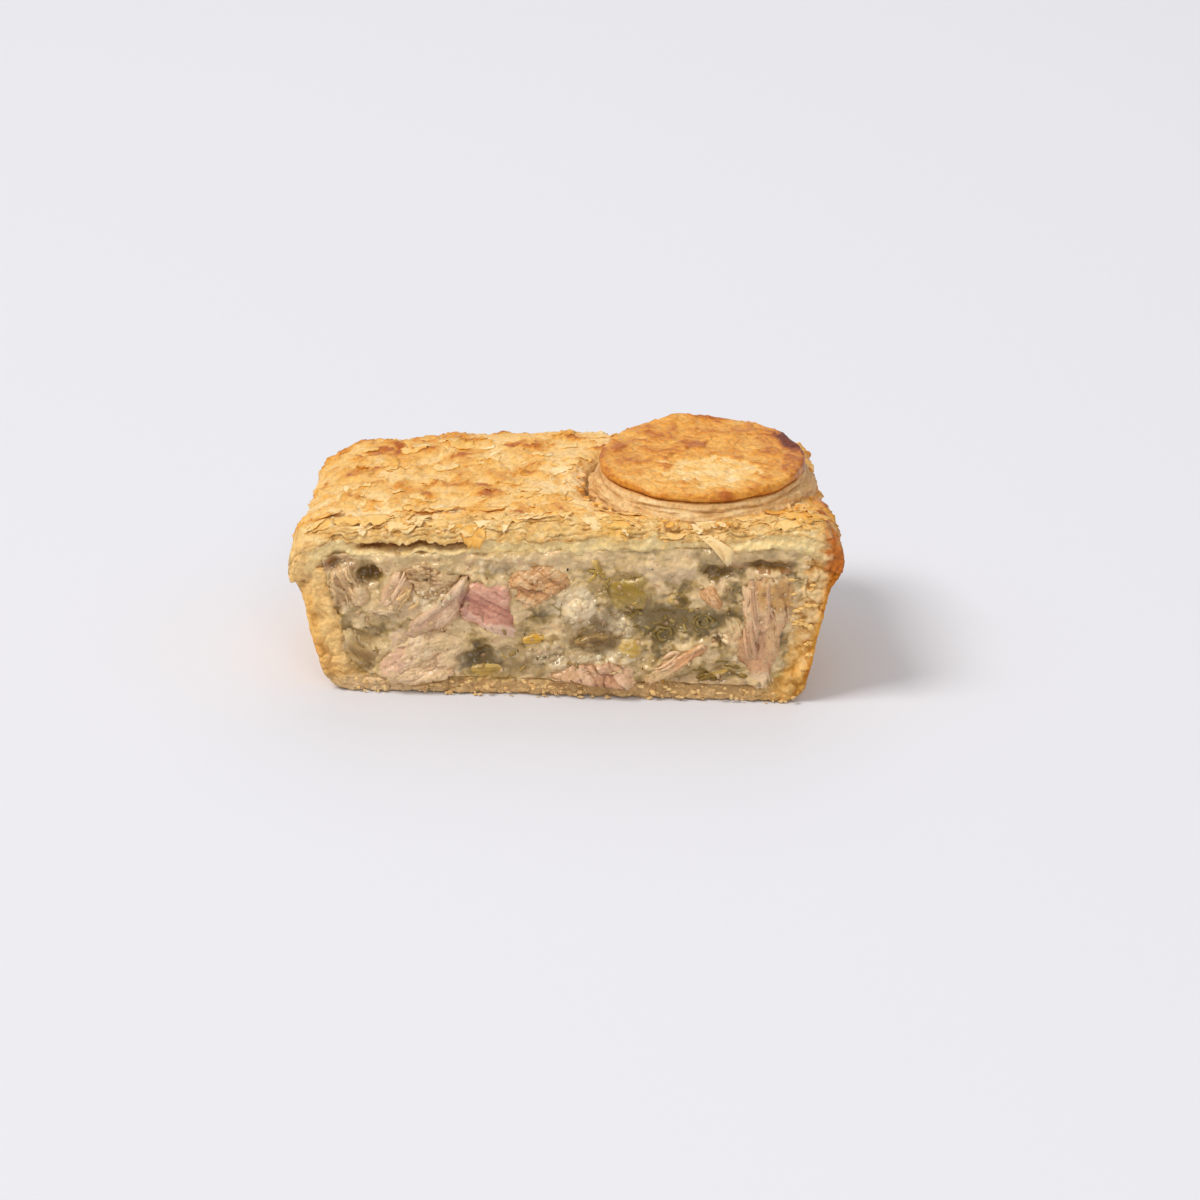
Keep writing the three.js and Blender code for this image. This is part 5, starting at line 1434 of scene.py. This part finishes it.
# Strands of meat: how many, middle x, z, spread x, z, turn in degrees and how much it varies, length in mm,
# and screen colour.
STRAND_GROUPS = (
    (6, -50.0, 26.5, 3.0, 3.5, -62, 30, 5.0, (222, 184, 134)),
    (3, -37.8, 25.6, 1.6, 2.2, 62, 8, 8.0, (230, 190, 150)),
    (6, -35.6, 23.6, 1.4, 2.0, 50, 20, 3.6, (234, 192, 132)),
    (6, -41.0, 19.6, 4.0, 0.8, -12, 14, 5.0, (222, 190, 146)),
    (4, 37.6, 17.2, 1.0, 2.4, -62, 16, 4.2, (232, 198, 146)),
    (5, 35.4, 14.8, 1.8, 1.2, 20, 60, 2.2, (236, 206, 160)),
    (6, 44.5, 20.0, 4.5, 7.0, -84, 8, 9.0, (216, 170, 128)),
    (3, 26.0, 10.0, 5.0, 1.6, 34, 8, 7.0, (232, 190, 146)),
)
# Bits of leek: the same.
SHRED_GROUPS = (
    (9, 21.0, 19.5, 7.0, 4.0, 0, 80, 2.4, (142, 112, 52)),
    (9, 23.0, 19.0, 7.0, 4.0, 0, 80, 1.6, (180, 152, 84)),
    (7, 11.0, 27.0, 6.0, 4.0, 0, 80, 2.4, (190, 156, 72)),
    (4, -16.0, 8.0, 8.0, 4.0, 0, 60, 2.2, (176, 142, 74)),
    (3, -46.0, 11.0, 4.0, 5.0, -50, 40, 3.0, (168, 134, 72)),
    (8, 35.0, 7.4, 7.0, 2.0, 14, 30, 3.4, (140, 108, 36)),
    (4, 49.0, 7.0, 1.5, 2.5, 60, 40, 2.4, (210, 172, 76)),
    (5, 0.0, 13.0, 14.0, 5.0, 0, 80, 1.8, (166, 134, 76)),
    (4, 20.4, 4.6, 2.0, 0.8, 10, 40, 2.0, (190, 132, 40)),
)


def make_slips(name, material, slot, groups, thick, flat, gloss, seed):
    """Thin slips that lie on the cut: flattened sticks that taper to both ends, each bent in its plane, and
    each ring of it laid on whatever stands out there."""
    chance = np.random.default_rng(seed)
    share, angle, faces = pod(*SLIP_CELLS)
    rows = []
    tones = []
    for count, x, z, spread_x, spread_z, turn, vary, length, colour in groups:
        rows.append(np.column_stack([
            x + spread_x * chance.uniform(-1, 1, count), z + spread_z * chance.uniform(-1, 1, count),
            np.radians(turn + vary * chance.uniform(-1, 1, count)), length * chance.uniform(0.6, 1.3, count),
            thick * chance.uniform(0.6, 1.4, count), chance.uniform(-1, 1, count),
        ]))
        tones.append(linear(colour) * chance.uniform(0.8, 1.15, (count, 1)))
    x, z, turn, length, wide, bent = (column[:, None] for column in np.vstack(rows).T)
    a = share * 2 - 1
    girth = np.sqrt(np.clip(1 - np.abs(a) ** 3, 0, 1)) * wide
    bow = 0.16 * bent * length * (1 - a * a)
    line_x = x + a * length / 2 * np.cos(turn) - bow * np.sin(turn)
    line_z = z + a * length / 2 * np.sin(turn) + bow * np.cos(turn)
    px = line_x - girth * np.sin(angle) * np.sin(turn)
    pz = np.clip(line_z + girth * np.sin(angle) * np.cos(turn), 1.0, 34.0)
    py = front_at(line_x, line_z) + 0.15 - 0.45 * wide * (1 - a * a) + flat * girth * np.cos(angle)
    points, every = copies(np.stack([px, py, pz], axis=-1), faces)
    tint = np.repeat(np.vstack(tones), len(share), axis=0)
    make_piece(name, points, every, material, slot, tint=tint, gloss=np.full(len(points), gloss))


# Scattered bits.

BIT_CELLS = (5, 7)
CURD_COUNT = 2600
DROP_COUNT = 220
MEAT_BIT_COUNT = 240
SPECK_COUNT = 46
# Crumbs of pastry at the foot of the cut, on the right wall, on the lid's lip and round the round's foot.
CRUMB_COUNTS = (190, 24, 60, 80)


def scatter_bits(name, material, slot, x, y, z, size, flat, tone, gloss, seed, smooth=True):
    """Small uneven bits as one piece: dented balls of the given sizes in mm, squashed by flat (x, y and z
    shares), each with its own tone."""
    share, angle, faces = pod(*BIT_CELLS)
    a = -np.cos(np.pi * share)
    girth = np.sqrt(np.clip(1 - a * a, 0, 1))
    ball = np.stack([girth * np.cos(angle), girth * np.sin(angle), a], axis=-1)[None]
    number = np.arange(len(x))[:, None]
    dent = 1 + 0.75 * noise(ball[..., 0] * 1.3 + number * 3.1, ball[..., 1] * 1.3, ball[..., 2] * 1.3, seed)
    points = ball * dent[..., None] * (size / 2)[:, None, None] * flat[:, None, :]
    points = points + np.stack([x, y, z], axis=-1)[:, None, :]
    points, every = copies(points, faces)
    tint = np.repeat(tone, len(share), axis=0)
    shine = np.full(len(points), gloss)
    make_piece(name, points, every, material, slot, smooth=smooth, tint=tint, gloss=shine)


def strewn(chance, count, left, right, low, high, likely=None):
    """Random places at the cut, off the pink meat, which is too smooth to hold bits; where a function says
    how likely a bit is, only the places that have the luck for it."""
    x = chance.uniform(left, right, count)
    z = chance.uniform(low, high, count)
    keep = ~within_outline(x, z, CHICKEN_PIECES["pink"][-1])
    if likely:
        keep = keep & (chance.uniform(0.25, 1.0, count) < likely(x, z) * 0.9)
    return x[keep], z[keep]


def lay_bits(name, material, slot, chance, x, z, size, sunk, thin, tone, gloss, seed):
    """Bits laid on whatever stands out at the cut, sunk a little, each with uneven length shares along x, y
    and z, thin to the front."""
    count = len(x)
    flat = np.column_stack([chance.uniform(0.6, 1.5, count), chance.uniform(thin, thin * 1.6, count),
                            chance.uniform(0.6, 1.5, count)])
    scatter_bits(name, material, slot, x, front_at(x, z) + sunk, z, size, flat, tone, gloss, seed)


def make_curds():
    """White curds on the sauce, thick where it is curdy."""
    chance = np.random.default_rng(3)
    x, z = strewn(chance, CURD_COUNT, -50, 50, 5, 33, curd_share)
    size = 0.25 + 0.9 * chance.uniform(0, 1, len(x)) ** 2
    tone = ramp(chance.uniform(0, 1, len(x)), (0, (216, 182, 128)), (1, (252, 232, 194)))
    lay_bits("sauce_curds", SAUCE, "sauce", chance, x, z, size, 0.12 * size, 0.4, tone, 0.3, 180)


def make_sauce_drops():
    """Flat drops of sauce that stick to the meat and the leek all over the cut."""
    chance = np.random.default_rng(4)
    x, z = strewn(chance, DROP_COUNT, -51, 50, 4.6, 33)
    size = 0.3 + 0.9 * chance.uniform(0, 1, len(x)) ** 3
    tone = sauce_look(x, z)[0] * chance.uniform(0.92, 1.12, (len(x), 1))
    lay_bits("sauce_drops", SAUCE, "sauce", chance, x, z, size, 0.08 * size, 0.25, tone, 0.8, 185)


def make_meat_bits():
    """Crumbs of chicken all over the cut, half coated with sauce."""
    chance = np.random.default_rng(6)
    x, z = strewn(chance, MEAT_BIT_COUNT, -51, 50, 4.4, 32)
    size = 0.3 + 0.9 * chance.uniform(0, 1, len(x)) ** 2
    tone = ramp(chance.uniform(0, 1, len(x)), (0, (190, 142, 98)), (0.5, (222, 180, 138)),
                (1, (240, 206, 168)))
    tone = mix(tone, sauce_look(x, z)[0], 0.5)
    lay_bits("chicken_bits", CHICKEN, "chicken", chance, x, z, size, 0.10 * size, 0.4, tone, 0.4, 188)


def make_specks():
    """Flecks of pepper and herb on the filling."""
    chance = np.random.default_rng(5)
    x = chance.uniform(-50, 50, SPECK_COUNT)
    z = chance.uniform(4.6, 33, SPECK_COUNT)
    size = chance.uniform(0.2, 0.5, SPECK_COUNT)
    tone = ramp(chance.uniform(0, 1, SPECK_COUNT), (0, (46, 30, 20)), (0.5, (100, 62, 32)),
                (0.8, (132, 98, 40)), (1, (150, 70, 40)))
    lay_bits("pepper_specks", SPECK, "sauce", chance, x, z, size, -0.05, 0.4, tone, 0.3, 190)


def make_crumbs():
    """Crumbs of pastry along the foot of the cut, on the right wall, along the lid's torn lip and round the
    foot of the round."""
    chance = np.random.default_rng(9)
    foot, wall, lip, ring = CRUMB_COUNTS
    on_foot = slice(0, foot)
    on_wall = slice(foot, foot + wall)
    on_lip = slice(foot + wall, foot + wall + lip)
    turn = chance.uniform(0, 2 * np.pi, ring)
    away = ROUND_RADIUS + chance.uniform(2.6, 5.5, ring)
    lip_x = chance.uniform(-58, 58, lip)
    lip_y, lip_z, _ = over_the_lip(lip_x, chance.uniform(0.5, 9, lip))
    x = np.concatenate([chance.uniform(-52, 52, foot), chance.uniform(50.5, 56.5, wall), lip_x,
                        ROUND_X + away * np.cos(turn)])
    y = np.concatenate([CUT_Y - chance.uniform(0.1, 0.9, foot), CUT_Y + chance.uniform(-0.2, 0.5, wall),
                        lip_y, ROUND_Y + away * np.sin(turn)])
    size = np.concatenate([0.3 + 1.0 * chance.uniform(0, 1, foot) ** 2, chance.uniform(0.8, 2.2, wall),
                           chance.uniform(0.4, 1.4, lip), chance.uniform(0.6, 1.8, ring)])
    count = len(x)
    inside = (inset(x, y) > 3.0) & (y > CUT_Y - 1)
    z = lid_surface(x, np.maximum(y, CUT_Y)) + 0.1 * size
    z[on_foot] = np.maximum(size * 0.4, chance.uniform(0.2, 3.8, count))[on_foot]
    z[on_wall] = chance.uniform(12, 31, count)[on_wall]
    z[on_lip] = lip_z - 0.2
    tone = pastry_tint(chance.uniform(0.15, 0.6, count))
    tone[on_foot] = mix(tone[on_foot], linear((226, 190, 134)), 0.75)
    tone[on_wall] = mix(tone[on_wall], linear((234, 194, 124)), 0.8)
    flat = np.column_stack([chance.uniform(0.7, 1.5, count), chance.uniform(0.5, 1.1, count),
                            chance.uniform(0.4, 0.9, count)])
    scatter_bits("pastry_crumbs", FLAKE_SKIN, "shortcrust", narrowed(x, y)[inside], y[inside], z[inside],
                 size[inside], flat[inside], tone[inside], 0.2, 200, smooth=False)


# Loose flakes.

LIP_FLAKE_CELLS = (26, 5, 1)
TOP_FLAKE_CELLS = (16, 5, 1)
LIP_FLAKE_COUNT = 72
TOP_FLAKE_COUNT = 130
FLAKE_THICKNESS = 0.18
FLAKE_ROWS = 4
# Flakes on the lip with a place of their own: x, half their width, start and length of their way over the
# lip, and how far they lift, in mm. The first ones, a broad tongue and a pale curl, also have a skew, an
# edge and a bake of their own.
OWN_FLAKES = np.array([
    (-21.0, 3.0, 6.6, 5.4, 0.6),
    (31.0, 1.6, 8.4, 7.6, 0.9),
    (-42.0, 5.0, 2.4, 4.0, 0.5),
    (-36.0, 4.4, 4.4, 3.8, 0.6),
])
SHAPED_FLAKES = slice(0, 2)


def flake_grid(counts):
    """One flake's places: a across, -1 to 1, b from root to tip, 0 to 1, and which of its two skins."""
    places, faces = block(*counts)
    a, b, skin = (places / counts).T
    return 2 * a - 1, b, skin, faces


def make_lip_flakes():
    """Torn flakes that lie over the lid's lip like shingles, in rows: each is a thin sheet that follows the
    way over the lip, with a ragged lower edge that lifts off it."""
    chance = np.random.default_rng(21)
    a, b, skin, faces = flake_grid(LIP_FLAKE_CELLS)
    one_each = (LIP_FLAKE_COUNT, 1)
    number = np.arange(LIP_FLAKE_COUNT)[:, None]
    row = (number % FLAKE_ROWS).astype(float)
    x = chance.uniform(-58.0, 57.5, one_each)
    half = 1.2 + 5.0 * chance.uniform(0, 1, one_each) ** 1.8
    start = 0.4 + 1.9 * row + chance.uniform(-1.8, 1.8, one_each)
    length = chance.uniform(1.4, 3.2, one_each)
    lifted = chance.uniform(0.1, 0.7, one_each)
    skew = chance.uniform(-0.3, 0.3, one_each)
    for values, own in zip((x, half, start, length, lifted), OWN_FLAKES.T):
        values[:len(own), 0] = own
    skew[SHAPED_FLAKES, 0] = (0.15, 0.75)
    torn = np.minimum(1, 2.6 / length)
    edge = 1 + 0.45 * torn * noise(a * 1.6 + number * 5.3, 0, number, seed=210)
    edge = edge + 0.40 * torn * noise(a * half / 1.3 + number * 3.7, 0, number, seed=211)
    edge = edge - 0.60 * np.abs(a) ** 3
    waves = noise(a * 3.0, 0, number[SHAPED_FLAKES], seed=215)
    edge[SHAPED_FLAKES] = 1 - 0.45 * a ** 2 + np.array([[0.30], [0.10]]) * waves
    walked = start + b * length * edge
    px = np.clip(x + a * half * (1 - 0.15 * b) + skew * b * length, -61, 60)
    py, pz, angle = over_the_lip(px, walked)
    off = 0.20 + lifted * b ** 2 + 0.25 * noise(px / 2.5, walked / 2, number, seed=212)
    off = off + FLAKE_THICKNESS * (skin - 0.5)
    py = py - off * np.sin(angle)
    pz = pz + off * np.cos(angle) - 0.15 * b * lifted
    points, every = copies(np.stack([px, py, pz], axis=-1), faces)
    bake = 0.38 - 0.03 * row + 0.20 * chance.uniform(-1, 1, one_each)
    bake = bake + 0.10 * noise(px / 1.5, walked, number, seed=213)
    bake[SHAPED_FLAKES] += np.array([[0.04], [-0.16]])
    bake = (bake + 0.10 * rise(b, 0.7, 1.0) * noise(px / 2, 0, number, seed=214)).ravel()
    make_piece("lip_flakes", points, every, FLAKE_SKIN, "flaky_lid",
               tint=pastry_tint(bake), gloss=0.3 + 0.5 * bake)


def make_top_flakes():
    """Flakes that lie on the lid: thin ragged sheets that follow its top, each with a side curled up."""
    chance = np.random.default_rng(22)
    a, b, skin, faces = flake_grid(TOP_FLAKE_CELLS)
    x = chance.uniform(-56, 57, TOP_FLAKE_COUNT)
    y = chance.uniform(CUT_Y + 8, 26, TOP_FLAKE_COUNT)
    keep = (from_round(x, y) > 5.5) & (inset(x, y) > 5)
    x, y = x[keep, None], y[keep, None]
    one_each = x.shape
    number = np.arange(len(x))[:, None]
    turn = chance.uniform(-0.7, 0.7, one_each)
    half = 0.7 + 2.8 * chance.uniform(0, 1, one_each) ** 1.8
    deep = half * chance.uniform(0.4, 0.8, one_each)
    edge = 1 + 0.35 * noise(a * 2.2 + number * 4.1, b * 2, number, seed=220)
    e = (2 * b - 1) * (1 - 0.35 * a * a)
    along, across = a * half * edge, e * deep * edge
    px = x + along * np.cos(turn) - across * np.sin(turn)
    py = y + along * np.sin(turn) + across * np.cos(turn)
    curl = chance.uniform(0.0, 0.20, one_each) * rise(-e, 0.0, 1.0)
    skin_height, under = lid_skin(px, py)
    pz = lid_top(px, py) + skin_height + 0.05 + curl + FLAKE_THICKNESS * (skin - 0.5)
    points, every = copies(np.stack([narrowed(px, py), py, pz], axis=-1), faces)
    bake = 0.6 * under + 0.06 + 0.14 * chance.uniform(-1, 1, one_each)
    bake = bake + 0.08 * noise(px / 2, py / 2, number, seed=222)
    bake = (bake + 0.10 * rise(-e, 0.4, 1)).ravel()
    make_piece("top_flakes", points, every, FLAKE_SKIN, "flaky_lid",
               tint=pastry_tint(bake), gloss=0.35 + 0.6 * bake)


# The stage.

# The camera's tilt and turn, its distance from the cut, and how far its aim lies across and up from the
# middle of the cut's foot, in mm; its lens and picture width in mm.
VIEW_TILT = math.radians(22.1)
VIEW_TURN = math.radians(3.9)
VIEW_AWAY = 735.0
VIEW_ACROSS = 7.98
VIEW_UP = 22.11
LENS = 96.75
PICTURE_WIDTH = 36
# How far the floor reaches each way, in metres.
STAGE_REACH = 6


def set_up(thing, right, back, place):
    """Puts a camera or a light at a place in metres, given its right hand and the way behind it."""
    turned = np.eye(4)
    turned[:3, :4] = np.column_stack([right, np.cross(back, right), back, place])
    thing.matrix_world = Matrix(turned.tolist())
    bpy.context.scene.collection.objects.link(thing)


def make_camera():
    """A long lens above the cut and a little to the right, looking at a point above its foot."""
    right = np.array([math.cos(VIEW_TURN), math.sin(VIEW_TURN), 0])
    back = np.array([math.cos(VIEW_TILT) * math.sin(VIEW_TURN), -math.cos(VIEW_TILT) * math.cos(VIEW_TURN),
                     math.sin(VIEW_TILT)])
    up = np.cross(back, right)
    place = np.array([0, CUT_Y, 0]) + VIEW_ACROSS * right + VIEW_UP * up + VIEW_AWAY * back
    lens = bpy.data.cameras.new("camera")
    lens.lens = LENS
    lens.sensor_width = PICTURE_WIDTH
    lens.clip_start = 0.01
    lens.clip_end = 50
    camera = bpy.data.objects.new("camera", lens)
    set_up(camera, right, back, place * MM)
    bpy.context.scene.camera = camera


def make_floor():
    """A wide plain floor at the height of the pie's base."""
    mesh = bpy.data.meshes.new("floor")
    corners = [(-STAGE_REACH, -STAGE_REACH, 0), (STAGE_REACH, -STAGE_REACH, 0),
               (STAGE_REACH, STAGE_REACH, 0), (-STAGE_REACH, STAGE_REACH, 0)]
    mesh.from_pydata(corners, [], [(0, 1, 2, 3)])
    material = bpy.data.materials.new("pale_floor")
    material.use_nodes = True
    shader = material.node_tree.nodes["Principled BSDF"]
    set_inputs(shader, Base_Color=(0.745, 0.755, 0.82, 1), Roughness=0.6, Specular_IOR_Level=0.2)
    mesh.materials.append(material)
    floor = bpy.data.objects.new("floor", mesh)
    bpy.context.scene.collection.objects.link(floor)


def make_light(name, place, power, size, colour):
    """A square soft light at a place in metres, turned to the pie."""
    lamp = bpy.data.lights.new(name, "AREA")
    lamp.energy = power
    lamp.size = size
    lamp.color = colour
    light = bpy.data.objects.new(name, lamp)
    back = np.array(place) - np.array([0, 0, 0.02])
    back = back / np.linalg.norm(back)
    right = np.cross([0, 0, 1], back)
    set_up(light, right / np.linalg.norm(right), back, place)


def make_surroundings():
    """Even pale light from all round, and plain colours on the screen."""
    world = bpy.data.worlds.new("soft_room")
    world.use_nodes = True
    sky = world.node_tree.nodes["Background"]
    set_inputs(sky, Color=(1.0, 0.99, 0.975, 1), Strength=0.50)
    bpy.context.scene.world = world
    bpy.context.scene.view_settings.view_transform = "Standard"


make_camera()
make_floor()
make_surroundings()
make_light("key", (-2.7, -1.5, 4.3), 178.0, 2.0, (1.0, 0.97, 0.91))
make_light("front", (0.9, -2.6, 1.9), 13.0, 0.9, (1.0, 0.985, 0.96))
make_light("back_wash", (0.0, 1.1, 1.2), 3.0, 1.2, (1.0, 1.0, 1.0))
note_pieces()
make_case_crust()
make_case_crumb()
make_lid()
make_round()
make_filling()
for place, piece_name in enumerate(CHICKEN_PIECES):
    make_chicken(place, piece_name)
for place, piece_name in enumerate(LEEK_LEAVES):
    make_leek_leaf(place, piece_name)
for place, piece_name in enumerate(LEEK_ROLLS):
    make_leek_roll(place, piece_name)
make_slips("chicken_strands_loose", CHICKEN, "chicken", STRAND_GROUPS, 0.42, 0.9, 0.45, 7)
make_slips("leek_shreds", LEEK, "leek", SHRED_GROUPS, 0.42, 0.5, 0.7, 11)
make_curds()
make_sauce_drops()
make_meat_bits()
make_specks()
make_crumbs()
make_lip_flakes()
make_top_flakes()
